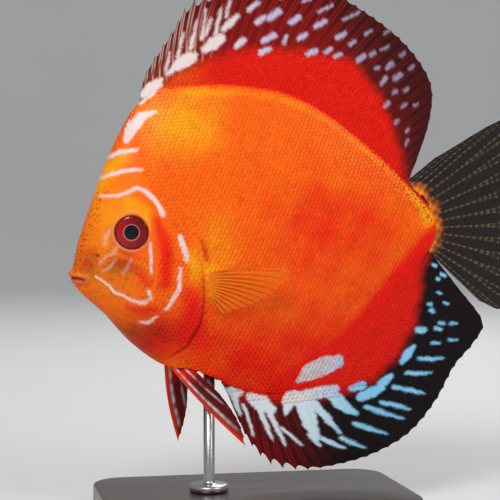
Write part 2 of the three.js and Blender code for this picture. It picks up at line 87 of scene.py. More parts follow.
mouth_corner = (4.1, -1.8)
mouth_gap = 0.3
lip_front_half = 1.3
lip_rolls = [
    {"upper": (-0.2, -0.35), "lower": (-0.05, -0.65), "side": 3.9, "share": 0.92},
    {"upper": (-0.6, 0.15), "lower": (0, -1.15), "side": 3.5, "share": 0.98},
    {"upper": (-0.75, 0.8), "lower": (0.1, -1.7), "side": 3.3, "share": 1},
    {"upper": (-0.5, 1.5), "lower": (0.25, -2.25), "side": 3.5, "share": 1},
    {"upper": (-0.05, 2.05), "lower": (0.4, -2.6), "side": 3.9, "share": 1},
]
gill_line = [(37.6, 25), (40, 18), (43.2, 7), (44, -4), (43.6, -13), (41.6, -21.5), (36.6, -28.6),
             (30.4, -32)]
cheek_line = [(33.5, 21), (30.6, 14), (28.9, 7), (27.6, 0), (26, -7), (24.2, -13), (24, -21),
              (26.4, -27.5)]
eye_centre = (21.3, 13.05)
socket_radius = 5.75
socket_depth = 3.4
nostril = (9.1, 6.2)
nostril_depth = 0.9
lip_seam = [(-0.6, -0.5), (1.6, -0.9), mouth_corner]
gill_stand_out = 0.55
cheek_stand_out = 0.3
jaw_creases = [(0.12, 30), (0.1, 25)]
scale_depth = 0.16
steps_down = 150
lip_hoops = 17
head_hoops = 109
hoop_gap = 0.42
flank_start = 46.8
flank_hoops = 92


def smooth_line(points):
    """A smooth height over x through the points, straight on beyond the last one."""
    xs, ys = np.array(points, float).T
    slopes = np.r_[
        (ys[1] - ys[0]) / (xs[1] - xs[0]),
        (ys[2:] - ys[:-2]) / (xs[2:] - xs[:-2]),
        (ys[-1] - ys[-2]) / (xs[-1] - xs[-2]),
    ]

    def height(x):
        x = np.asarray(x, float)
        i = np.clip(np.searchsorted(xs, x) - 1, 0, len(xs) - 2)
        step = xs[i + 1] - xs[i]
        t = (x - xs[i]) / step
        inside = np.clip(t, 0, 1)
        leaving = slopes[i] * step * inside * (1 - inside) ** 2
        arriving = slopes[i + 1] * step * inside ** 2 * (inside - 1)
        middle = ys[i] + (ys[i + 1] - ys[i]) * inside ** 2 * (3 - 2 * inside) + (leaving + arriving)
        return middle + np.minimum(t, 0) * step * slopes[i] + np.maximum(t - 1, 0) * step * slopes[i + 1]

    return height


def smoothstep(low, high, x):
    t = np.clip((x - low) / (high - low), 0, 1)
    return t * t * (3 - 2 * t)


def bump(x, centre, width):
    return np.exp(-(((x - centre) / width) ** 2))


def in_room(u, y, w):
    """Fish millimetres as room metres."""
    cos, sin = math.cos(nose_down), math.sin(nose_down)
    return np.stack([
        mouth_place[0] + u * cos - w * sin,
        mouth_place[1] + y,
        mouth_place[2] + u * sin + w * cos,
    ], -1) / 1000


def beside(u, w, route):
    """Distance to a route on the side of the fish, and which side: plus is ahead of a downward route."""
    nearest = np.full(np.shape(u), 1e9)
    side = np.ones(np.shape(u))
    for (u0, w0), (u1, w1) in zip(route, route[1:]):
        du, dw = u1 - u0, w1 - w0
        t = np.clip(((u - u0) * du + (w - w0) * dw) / (du * du + dw * dw), 0, 1)
        gap = np.hypot(u - u0 - t * du, w - w0 - t * dw)
        closer = gap < nearest
        nearest = np.where(closer, gap, nearest)
        side = np.where(closer, np.sign((u - u0) * dw - (w - w0) * du), side)
    return nearest, side


back_height = smooth_line(back_line)
belly_height = smooth_line(belly_line)
middle_half = smooth_line(middle_half_width)
back_half = smooth_line(back_half_width)
belly_half = smooth_line(belly_half_width)


def body_half(u, w):
    """Half the thickness of the body at a place on its side."""
    top, bottom = back_height(u), belly_height(u)
    v = np.clip((2 * w - top - bottom) / (top - bottom), -1, 1)
    edge = belly_half(u) + (back_half(u) - belly_half(u)) * (1 + v) / 2
    on_head = smoothstep(2, 7, u) * smoothstep(30, 22, u)
    near_edge = np.clip(0.6 * np.minimum(top - w, w - bottom) / edge, 0, 1)
    rounded = np.maximum(np.sqrt(near_edge * (2 - near_edge)), 0.1)
    edge = edge * (1 - on_head * (1 - rounded))
    fullness = 0.82 + 0.2 * smoothstep(20, 50, u)
    return edge + (middle_half(u) - edge) * (1 - v * v) ** fullness


def relief(u, w):
    """How far the skin stands out from the plain body: lips, orbit, nostrils, cheek and gill cover."""
    lip, _ = beside(u, w, lip_seam)
    out = 0.34 * bump(lip, 1.0, 0.7) - 0.3 * bump(lip, 2.5, 0.6)
    eye = np.hypot(u - eye_centre[0], w - eye_centre[1])
    out = out + 0.55 * bump(eye, 6.35, 0.6) - 0.2 * bump(eye, 8.0, 0.9)
    out = out - socket_depth * (1 - smoothstep(socket_radius - 0.7, socket_radius + 0.1, eye))
    hole = np.hypot(u - nostril[0], w - nostril[1])
    out = out - nostril_depth * (1 - smoothstep(0.25, 0.7, hole)) + 0.22 * bump(hole, 1.05, 0.3)
    gill, gill_side = beside(u, w, gill_line)
    flap = np.where(gill_side > 0, gill_stand_out * np.exp(-gill / 6), -0.5 * np.exp(-gill / 1.6))
    out = out + flap * smoothstep(16, 4, w) * smoothstep(-33, -29, w)
    cheek, cheek_side = beside(u, w, cheek_line)
    fold = np.where(cheek_side > 0, cheek_stand_out * np.exp(-cheek / 4), -0.24 * bump(cheek, 0.4, 0.7))
    out = out + fold * smoothstep(22, 16, w) * smoothstep(-29, -24, w)
    for depth, foot in jaw_creases:
        jaw, _ = beside(u, w, [(foot - 18, -13), (foot - 8, -19), (foot, -28)])
        out = out - depth * bump(jaw, 0, 0.5) * smoothstep(2, 10, u)
    return out


tail_end = {"back": 124.2, "belly": 130.0, "sweep": 5.4, "middle": 6.6}


def hoop_at(place):
    """One hoop round the body: swept back round the mouth in front and round the tail's root behind."""
    front = smoothstep(0, 16, place)
    rear = smoothstep(104, tail_end["back"], place)
    belly = place + (tail_end["belly"] - tail_end["back"]) * rear
    lip = (1 - front) * (mouth_corner[0] - 0.4)
    middle = mouth_corner[1] + ((back_height(place) + belly_height(place)) / 2 - mouth_corner[1]) * front
    return {
        "back": place, "belly": belly, "sweep": lip + rear * tail_end["sweep"],
        "middle": middle + (tail_end["middle"] - middle) * rear,
    }


def hoop_line(hoop, turn):
    down = (1 - np.cos(turn)) / 2
    u = hoop["back"] + (hoop["belly"] - hoop["back"]) * down + hoop["sweep"] * np.sin(turn) ** 2
    end = np.where(np.cos(turn) > 0, back_height(hoop["back"]), belly_height(hoop["belly"]))
    return u, hoop["middle"] + (end - hoop["middle"]) * np.abs(np.cos(turn))


def slit_line(turn, depth, gap):
    """The slit between the lips, closing towards its corners and its depth."""
    u = 0.5 + depth + (mouth_corner[0] - 0.5) * np.sin(turn) ** 2
    line = mouth_corner[1] / mouth_corner[0] * np.minimum(u - depth, mouth_corner[0])
    return u, line + gap * np.cos(turn)


def lip_line(turn, stage):
    """A hoop of the lips at a stage from 0 at the slit to the last of the rolls, with its half width."""
    first = min(int(stage), len(lip_rolls) - 2)
    share = stage - first

    def between(name):
        a, b = np.array(lip_rolls[first][name], float), np.array(lip_rolls[first + 1][name], float)
        return a + (b - a) * share

    end = np.where((np.cos(turn) > 0)[:, None], between("upper"), between("lower"))
    side = between("side")
    u = end[:, 0] + (side - end[:, 0]) * np.sin(turn) ** 2
    w = mouth_corner[1] + (end[:, 1] - mouth_corner[1]) * np.abs(np.cos(turn))
    side_half = body_half(side, mouth_corner[1]) * between("share")
    front_half = lip_front_half * between("share")
    return u, w, front_half + (side_half - front_half) * np.abs(np.sin(turn)) ** 0.85


# The pigments under the skin: orange flesh, golden nape and tail root, red towards the fins, and the
# pale blue-white lines and patches of the head and fins. A stroke is a row of (u, w, half width) and a
# patch is (strength, u, w, reach along, reach up), in mm.
pale_strokes = [
    [(12.3, 26.6, 0.35), (17.9, 26, 0.5), (21, 26.7, 0.55), (24.7, 28.1, 0.6), (27.4, 26.8, 0.75),
     (30.1, 23.7, 0.8), (31.8, 20.4, 0.8), (32.5, 18.3, 1.0)],
    [(27.3, 8.8, 0.4), (26.9, 3.6, 0.55), (26.5, -1.5, 0.35)], [(24.9, -7.6, 0.5), (25.6, -10.4, 0.5)],
    [(7.8, -0.8, 0.3), (9.6, -2.2, 0.35), (12.3, -4.8, 0.4), (13.4, -6.8, 0.4), (16.7, -8.5, 0.4),
     (19.5, -10.5, 0.45), (21.8, -11.5, 0.5), (23.9, -11.3, 0.5), (25.5, -10.2, 0.45)],
    [(37.5, 9.8, 0.8), (38.6, 5.2, 0.95), (38.9, 1.6, 0.7)],
    [(36.6, -1.2, 0.5), (35.4, -8.1, 0.7), (32.9, -12, 0.65), (30.1, -14.9, 0.4)],
    [(21, -18, 0.25), (24.2, -18.6, 0.4), (27.4, -16.6, 0.3)],
    [(23.5, 44.9, 1.0), (26.4, 49.1, 2.0), (29.6, 52.4, 1.6), (34.6, 53.6, 0.6)],
    [(30, 57.9, 1.3), (33.6, 60.6, 1.7), (37.6, 63.6, 1.4)],
    [(16.6, 39.4, 0.4), (20.9, 40.9, 0.8), (26.6, 41, 0.55)],
    [(13, 32.6, 0.35), (17, 33.6, 0.55), (22, 34.4, 0.65), (27.4, 34.2, 0.4)],
]
belly_stroke = [(75.9, -46.4, 0.7), (80, -43.8, 3.2), (86, -42.2, 3.6), (91.5, -41.2, 2.2)]


def ripple(u, w, pitch, seed):
    """An even, repeatable wander, about one unit either way."""
    level = np.sin(u / pitch * 2.1 + seed) + np.sin(w / pitch * 1.7 + seed * 2.3)
    rising = np.sin((u * 0.8 + w * 1.3) / pitch * 2.9 + seed * 1.7)
    falling = np.sin((u * 1.1 - w * 0.9) / pitch * 3.7 + seed)
    return (level + (rising + falling)) / 3


def stroked(u, w, strokes, soft):
    """1 inside any stroke, falling to 0 over a soft edge."""
    inside = np.full(np.shape(u), -1e9)
    for stroke in strokes:
        for (u0, w0, r0), (u1, w1, r1) in zip(stroke, stroke[1:]):
            du, dw = u1 - u0, w1 - w0
            t = np.clip(((u - u0) * du + (w - w0) * dw) / (du * du + dw * dw), 0, 1)
            gap = np.hypot(u - u0 - t * du, w - w0 - t * dw)
            inside = np.maximum(inside, r0 + (r1 - r0) * t - gap)
    return smoothstep(-soft, soft, inside)


gold_strokes = [
    [(40.2, 3, 1.2), (41.6, -1.5, 1.8), (40.6, -6, 1.2)], [(10, 30, 2.2), (16, 36, 2.6), (22, 39, 2)],
    [(46.6, -2.4, 1.2), (47.6, -8, 1.6), (46.6, -12.6, 1.2)],
    [(25.5, 13, 1.2), (27, 20, 1.6), (22, 23, 1.4)],
]
ember_strokes = [
    [(30.4, 16.5, 1.6), (32, 9, 2.6), (32.4, 2.9, 2.6), (31, -6, 2.2)],
    [(5.6, 8.4, 0.7), (6.3, 4.4, 0.9), (7.3, 1.4, 0.5)],
    [(16.4, 7.6, 0.8), (19.6, 5, 1.0), (22.6, 4.4, 0.7)],
    [(17.5, -12.6, 0.8), (22, -14.4, 1.4), (26.5, -14, 0.8)],
    [(45.2, 7, 0.5), (45.9, 3.4, 0.8), (46.4, 0.4, 0.3)], [(0.2, -1.6, 0.5), (2.6, -2.5, 0.5)],
    [(12.6, 4.6, 1.2), (17.4, 2.8, 1.9), (21.4, 0.4, 1.7), (24.6, -5, 1.5)],
    [(4.4, 3.6, 1.4), (7.6, 3.4, 1.4), (8.2, 8, 1.6)],
]
# Painted shade: a dark dot in the nostril, a dark crescent in the gill slit above the pectoral fin, and a
# dark line in the groove behind the gill cover's rear edge.
crease_shade_strokes = [
    [(8.9, 6.2, 0.3), (9.3, 6.3, 0.3)], [(44.4, 8, 0.3), (45.3, 4, 0.5), (45.6, 1, 0.2)],
    [(44.3, -5, 0.1), (43.9, -13, 0.3), (41.9, -21.5, 0.4), (37.4, -28, 0.3)],
]
faint_strokes = [
    [(14.9, 4.2, 0.35), (12.9, 2, 0.5), (10.4, 0.9, 0.35)],
    [(20.4, 4, 0.3), (18.2, 0.6, 0.45), (16.8, -0.8, 0.3)],
    [(14.2, 14.6, 0.5), (12.6, 12.6, 0.8), (12, 9.6, 0.5)], [(9.6, 3.6, 0.4), (11.6, 5.4, 0.5)],
    [(16.6, 9.4, 0.4), (14.6, 6.6, 0.5), (12.2, 5.8, 0.4)],
]
gold_patches = [
    (1, 43, 48, 15, 11), (0.55, 49, 4, 10, 16), (0.55, 47, -33, 6, 5), (0.62, 15, 18, 11, 20),
    (0.95, 131, 7, 5, 5), (0.5, 127, 15, 4, 4),
]
ember_patches = [(0.72, 94, 8, 34, 20), (0.75, 39.5, -15, 4.6, 9)]
breast_patch = [(1, 28, -25, 12, 8.5)]
throat_shade = [(0.42, 18, -21, 10, 6)]
cheek_shade = [(0.46, 16.6, 2.2, 5.4, 3.6), (0.4, 5.4, 4, 3, 4.6)]
olive_patches = [(1, 8, 2, 9, 15), (0.7, 18, -4, 7, 7)]
cheek_specks = [(0.5, 12, 5, 5, 6)]


def shares(**masks):
    """Masks kept between 0 and 1."""
    return {name: np.clip(values, 0, 1) for name, values in masks.items()}


def patches(u, w, places):
    """The sum of soft round patches at a place."""
    total = 0
    for strength, along, up, long, tall in places:
        total = total + strength * np.exp(-(((u - along) / long) ** 2) - ((w - up) / tall) ** 2)
    return total


def body_pigments(u, w):
    """How much of each pigment a place on the flank or head carries, from 0 to 1; the dark mask also carries
    painted shade.
    """
    to_back = back_height(u) - w
    to_belly = w - belly_height(u)
    wander = ripple(u, w, 9, 1.0)
    mottle = ripple(u, w, 1.9, 6.0)
    arc = 0.42 * bump(to_back, 3.4, 1.9) * smoothstep(38, 50, u)
    gold = patches(u, w, gold_patches) + arc + 0.1 * wander + 0.7 * stroked(u, w, gold_strokes, 2.8)
    under = 0.75 * smoothstep(2, -38, w) * smoothstep(30, 46, u)
    back_edge = smoothstep(2.4, -0.4, to_back) * smoothstep(36, 44, u)
    belly_edge = smoothstep(11, 1, to_belly) * smoothstep(58, 80, u)
    streak = 0.5 * bump(w - (31 - 0.22 * (u - 60)), 0, 2.4) * smoothstep(64, 92, u)
    bars = bump(u + 0.1 * w, 71, 3) + bump(u + 0.1 * w, 92, 3.4)
    faint_bars = 0.14 * bars * smoothstep(6, 18, w) * smoothstep(50, 36, w)
    breast = patches(u, w, breast_patch)
    ember = patches(u, w, ember_patches) + under + back_edge + belly_edge + faint_bars + 0.12 * wander
    ember = ember - 0.3 * streak + 0.95 * breast + 0.78 * stroked(u, w, ember_strokes, 2.2)
    # The dark mask here is painted shade on the throat and cheeks, in the nostril and along the gill slit,
    # with some darkening over the breast.
    throat = patches(u, w, throat_shade) * (1 + 0.35 * mottle)
    cheek = patches(u, w, cheek_shade) * (1 + 0.4 * mottle)
    dark = throat + cheek + 0.3 * breast + 0.55 * stroked(u, w, crease_shade_strokes, 0.8)
    olive = patches(u, w, olive_patches) * (0.62 + 0.55 * mottle)
    brow = smoothstep(13, 2, to_back) * smoothstep(-4, 4, w) * smoothstep(36, 24, w)
    crown = 0.8 * smoothstep(4, 0.4, to_back) * smoothstep(34, 42, w) * smoothstep(64, 58, w) * (u < 40)
    specks = brow + patches(u, w, cheek_specks) + crown
    marks = pale_strokes + [belly_stroke]
    pale = stroked(u + 0.22 * ripple(u, w, 1.6, 3), w + 0.18 * ripple(u, w, 1.4, 5), marks, 0.34)
    pale = np.maximum(pale * (0.9 + 0.1 * mottle), 0.28 * stroked(u, w, faint_strokes, 0.6))
    blue = 0.1 + 0.24 * smoothstep(50, 84, u)
    return shares(gold=gold, ember=ember, dark=dark, olive=olive, specks=specks, pale=pale, blue=blue)


def make_piece(name, points, faces, masks):
    """A mesh of like-sided faces from arrays, with a mask on each vertex for its pigments."""
    mesh = bpy.data.meshes.new(name)
    sides = faces.shape[1]
    mesh.vertices.add(len(points))
    mesh.vertices.foreach_set("co", np.ascontiguousarray(points, np.float32).ravel())
    mesh.loops.add(faces.size)
    mesh.loops.foreach_set("vertex_index", np.ascontiguousarray(faces, np.int32).ravel())
    mesh.polygons.add(len(faces))
    mesh.polygons.foreach_set("loop_start", np.arange(0, faces.size, sides, dtype=np.int32))
    mesh.polygons.foreach_set("loop_total", np.full(len(faces), sides, np.int32))
    mesh.polygons.foreach_set("use_smooth", np.ones(len(faces), bool))
    for mask, values in masks.items():
        layer = mesh.attributes.new(mask, "FLOAT", "POINT")
        each = np.broadcast_to(np.ravel(values), len(points))
        layer.data.foreach_set("value", np.ascontiguousarray(each, np.float32))
    mesh.update(calc_edges=True)
    mesh.validate()
    piece = bpy.data.objects.new(name, mesh)
    bpy.context.collection.objects.link(piece)
    return piece


def grid_faces(rows, columns, closed):
    """Quads of a grid of points, joined round its columns where it is closed."""
    across = columns if closed else columns - 1
    row, column = np.meshgrid(np.arange(rows - 1), np.arange(across), indexing="ij")
    a = row * columns + column
    b = row * columns + (column + 1) % columns
    return np.stack([a, b, b + columns, a + columns], -1).reshape(-1, 4)


def facing_out(points, faces):
    """The faces of a closed mesh, turned round where they face inward."""
    corners = (points - points.mean(0))[faces]
    fans = [np.cross(corners[:, i], corners[:, i + 1]) for i in range(1, faces.shape[1] - 1)]
    volume = sum(np.einsum("ij,ij->", corners[:, 0], fan) for fan in fans)
    return faces if volume > 0 else faces[:, ::-1]


def outward_normals(points):
    """Normals of a closed-round grid of points, from its neighbours."""
    along = np.gradient(points, axis=0)
    around = np.roll(points, -1, axis=1) - np.roll(points, 1, axis=1)
    normal = np.cross(along, around)
    return normal / np.maximum(np.linalg.norm(normal, axis=-1, keepdims=True), 1e-9)


def skin_of_body():
    """Closed hoops from inside the mouth to the root of the tail, with the skin's masks."""
    turn = np.linspace(0, math.pi, steps_down + 1)
    head_places = 0.7 + hoop_gap * np.arange(head_hoops)
    places = np.r_[head_places, np.linspace(flank_start, tail_end["back"], flank_hoops)]
    lines = []
    for depth, gap, narrow in ((3.2, mouth_gap * 0.5, 0.55), (1.2, mouth_gap, 0.78)):
        u, w = slit_line(turn, depth, gap)
        lines.append((u, w, body_half(u, w) * narrow))
    inside = len(lines)
    lines += [lip_line(turn, stage) for stage in np.linspace(0, len(lip_rolls) - 1, lip_hoops)]
    lines += [(u, w, body_half(u, w)) for u, w in (hoop_line(hoop_at(place), turn) for place in places)]
    hoops = []
    for u, w, y in lines:
        left = np.stack([u, -y, w], -1)
        right = np.stack([u, y, w], -1)[::-1]
        hoops.append(np.concatenate([left, right]))
    points = np.array(hoops)
    u, w = points[..., 0], points[..., 2]
    normal = outward_normals(points)
    normal = normal * np.sign(np.sum(normal * points * [0, 1, 0], -1)[..., None] + 1e-9)
    lift = relief(u, w) - scale_depth * smoothstep(24, 40, u)
    lift[:inside] = 0
    lift[inside:inside + lip_hoops] *= np.linspace(0, 1, lip_hoops)[:, None]
    fade = smoothstep(tail_end["back"] + 1, tail_end["back"] - 4, points[:, 0, 0])
    points = points + normal * (lift * fade[:, None])[..., None]
    rows, columns = points.shape[:2]
    near = np.arange(steps_down)
    cap = np.stack([near, near + 1, columns - 2 - near, columns - 1 - near], -1)
    last = (rows - 1) * columns
    faces = np.concatenate([grid_faces(rows, columns, True), cap, cap[:, ::-1] + last])
    masks = body_pigments(u, w)
    # The hoops inside the mouth are painted fully dark: painted shade in the mouth's recess.
    masks["dark"][:inside + 1] = 1
    lips, _ = beside(u, w, lip_seam)
    masks["lips"] = smoothstep(2.2, 1.0, lips)
    # The cleft mask is painted shade: a dark red band along the seam where the lips close.
    masks["cleft_shade"] = smoothstep(0.9, 0.15, lips) * smoothstep(5, 3.6, u)
    eye = np.hypot(u - eye_centre[0], w - eye_centre[1])
    round_eye = np.arctan2(w - eye_centre[1], u - eye_centre[0])
    masks["orbit"] = bump(eye, 6.05, 0.5) * (0.55 + 0.45 * np.cos(round_eye + 2.2))
    return points, faces, masks


def srgb(red, green, blue):
    """A colour seen on a screen, 0 to 255, as Blender's linear colour."""
    def linear(c):
        c = c / 255
        return c / 12.92 if c <= 0.04045 else ((c + 0.055) / 1.055) ** 2.4
    return (linear(red), linear(green), linear(blue), 1)


def group_of(name, inputs, outputs):
    """An empty node group with named sockets."""
    group = bpy.data.node_groups.new(name, "ShaderNodeTree")
    for socket, kind, value in inputs:
        made = group.interface.new_socket(socket, in_out="INPUT", socket_type=kind)
        made.default_value = value
    for socket, kind in outputs:
        group.interface.new_socket(socket, in_out="OUTPUT", socket_type=kind)
    return group, group.nodes.new("NodeGroupInput"), group.nodes.new("NodeGroupOutput")


def mix_colour(tree, share, first, second):
    """A colour mix; each side is a socket or a plain colour."""
    node = tree.nodes.new("ShaderNodeMix")
    node.data_type = "RGBA"
    colour_a, colour_b = 6, 7
    for number, value in (("Factor", share), (colour_a, first), (colour_b, second)):
        socket = node.inputs[number]
        if isinstance(value, bpy.types.NodeSocket):
            tree.links.new(value, socket)
        else:
            socket.default_value = value
    return node.outputs[2]


def arithmetic(tree, operation, *values):
    node = tree.nodes.new("ShaderNodeMath")
    node.operation = operation
    for socket, value in zip(node.inputs, values):
        if isinstance(value, bpy.types.NodeSocket):
            tree.links.new(value, socket)
        else:
            socket.default_value = value
    return node.outputs[0]


def noise(tree, scale, detail, place=None):
    node = tree.nodes.new("ShaderNodeTexNoise")
    node.inputs["Scale"].default_value = scale
    node.inputs["Detail"].default_value = detail
    if place is None:
        coordinates = tree.nodes.new("ShaderNodeTexCoord")
        place = coordinates.outputs["Object"]
    tree.links.new(place, node.inputs["Vector"])
    return node.outputs["Fac"]


def stretched(tree, scale):
    """Places on a piece, drawn out unequally along its three axes."""
    coordinates = tree.nodes.new("ShaderNodeTexCoord")
    stretch = tree.nodes.new("ShaderNodeMapping")
    stretch.inputs["Scale"].default_value = scale
    tree.links.new(coordinates.outputs["Object"], stretch.inputs["Vector"])
    return stretch.outputs["Vector"]


def brightened(tree, colour, value):
    node = tree.nodes.new("ShaderNodeHueSaturation")
    tree.links.new(colour, node.inputs["Color"])
    tree.links.new(value, node.inputs["Value"])
    return node.outputs["Color"]


def scaled(tree, mask, amount):
    return arithmetic(tree, "MULTIPLY", mask, amount)


def ramp(tree, value, low, high):
    node = tree.nodes.new("ShaderNodeMapRange")
    node.interpolation_type = "SMOOTHSTEP"
    tree.links.new(value, node.inputs["Value"])
    node.inputs["From Min"].default_value = low
    node.inputs["From Max"].default_value = high
    return node.outputs["Result"]


pigment_names = ("gold", "ember", "olive", "dark", "specks", "pale", "blue")
pigment_colours = {
    "Flesh": srgb(250, 98, 5), "Gold Colour": srgb(250, 158, 8), "Ember Colour": srgb(236, 22, 3),
    "Dark Colour": srgb(74, 10, 6), "Pale Colour": srgb(240, 222, 212), "Blue Colour": srgb(128, 190, 226),
}
olive_tint = srgb(208, 128, 14)
bruise_tint = srgb(140, 62, 34)
speck_tint = srgb(48, 20, 8)
rosy_tint = srgb(228, 186, 202)


def pigment_group():
    """Lays the pigments over one another: flesh, gold, ember red, olive, dark, specks and pale; the dark
    layer also carries painted shade.
    """
    masks = [(name.capitalize(), "NodeSocketFloat", 0.0) for name in pigment_names]
    colours = [(name, "NodeSocketColor", colour) for name, colour in pigment_colours.items()]
    group, inputs, output = group_of("discus_pigments", masks + colours, [("Colour", "NodeSocketColor")])
    given = inputs.outputs
    fine = noise(group, 900, 3)
    wander = arithmetic(group, "MULTIPLY_ADD", noise(group, 90, 3), 0.3, -0.15)
    gold = ramp(group, arithmetic(group, "ADD", given["Gold"], wander), 0.05, 1.0)
    ember = ramp(group, arithmetic(group, "ADD", given["Ember"], wander), 0.1, 1.0)
    colour = mix_colour(group, gold, given["Flesh"], given["Gold Colour"])
    colour = mix_colour(group, ember, colour, given["Ember Colour"])
    patched = arithmetic(group, "MULTIPLY", given["Olive"], ramp(group, fine, 0.3, 0.62))
    colour = mix_colour(group, patched, colour, olive_tint)
    bruises = arithmetic(group, "MULTIPLY", given["Olive"], ramp(group, noise(group, 620, 2), 0.54, 0.68))
    colour = mix_colour(group, scaled(group, bruises, 0.6), colour, bruise_tint)
    colour = brightened(group, colour, arithmetic(group, "MULTIPLY_ADD", fine, 0.4, 0.8))
    colour = mix_colour(group, given["Dark"], colour, given["Dark Colour"])
    cells = group.nodes.new("ShaderNodeTexVoronoi")
    cells.inputs["Scale"].default_value = 1300
    coordinates = group.nodes.new("ShaderNodeTexCoord")
    group.links.new(coordinates.outputs["Object"], cells.inputs["Vector"])
    dots = arithmetic(group, "SUBTRACT", 1.0, ramp(group, cells.outputs["Distance"], 0.3, 0.52))
    chosen = ramp(group, noise(group, 760, 1), 0.45, 0.56)
    dots = arithmetic(group, "MULTIPLY", arithmetic(group, "MULTIPLY", dots, chosen), given["Specks"])
    colour = mix_colour(group, scaled(group, dots, 0.85), colour, speck_tint)
    white = mix_colour(group, given["Blue"], given["Pale Colour"], given["Blue Colour"])
    patchy = mix_colour(group, scaled(group, ramp(group, fine, 0.45, 0.8), 0.4), white, rosy_tint)
    colour = mix_colour(group, given["Pale"], colour, patchy)
    group.links.new(colour, output.inputs["Colour"])
    return group


pigments = pigment_group()


def mask_of(tree, name):
    node = tree.nodes.new("ShaderNodeAttribute")
    node.attribute_name = name
    return node.outputs["Fac"]


def pigmented(tree):
    """The pigments' colour for a mesh that carries their masks, and the group's node."""
    node = tree.nodes.new("ShaderNodeGroup")
    node.node_tree = pigments
    for name in pigment_names:
        tree.links.new(mask_of(tree, name), node.inputs[name.capitalize()])
    return node.outputs["Colour"], node


def new_material(name, roughness, coat=0.0, specular=0.5):
    material = bpy.data.materials.new(name)
    material.use_nodes = True
    shader = material.node_tree.nodes["Principled BSDF"]
    shader.inputs["Roughness"].default_value = roughness
    shader.inputs["Coat Weight"].default_value = coat
    shader.inputs["Coat Roughness"].default_value = 0.16
    shader.inputs["Specular IOR Level"].default_value = specular
    return material, material.node_tree, shader


def raise_bumps(tree, shader, height, distance):
    node = tree.nodes.new("ShaderNodeBump")
    node.inputs["Distance"].default_value = distance
    tree.links.new(height, node.inputs["Height"])
    tree.links.new(node.outputs["Normal"], shader.inputs["Normal"])


skin_tints = (
    ("lips", 0.7, srgb(216, 108, 44)),
    # The cleft tint is painted shade in the seam between the lips.
    ("cleft_shade", 0.85, srgb(112, 14, 8)),
    ("orbit", 0.8, srgb(226, 132, 108)),
)


def skin_material():
    material, tree, shader = new_material("wet_skin", 0.36, coat=0.06, specular=0.14)
    colour, _ = pigmented(tree)
    for name, amount, tint in skin_tints:
        colour = mix_colour(tree, scaled(tree, mask_of(tree, name), amount), colour, tint)
    tree.links.new(colour, shader.inputs["Base Color"])
    slime = arithmetic(tree, "MULTIPLY_ADD", noise(tree, 260, 4), 0.3, 0.24)
    tree.links.new(slime, shader.inputs["Roughness"])
    pores = arithmetic(tree, "MULTIPLY_ADD", noise(tree, 1500, 2), 0.4, noise(tree, 420, 3))
    raise_bumps(tree, shader, pores, 0.00009)
    return material


skin_points, skin_faces, skin_masks = skin_of_body()
skin_in_room = in_room(*np.moveaxis(skin_points, -1, 0)).reshape(-1, 3)
skin = make_piece("skin", skin_in_room, skin_faces, skin_masks)
skin.data.materials.append(skin_material())
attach(skin, "root")
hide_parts("head", "torso", "tail_peduncle", "gill_cover_left", "gill_cover_right")

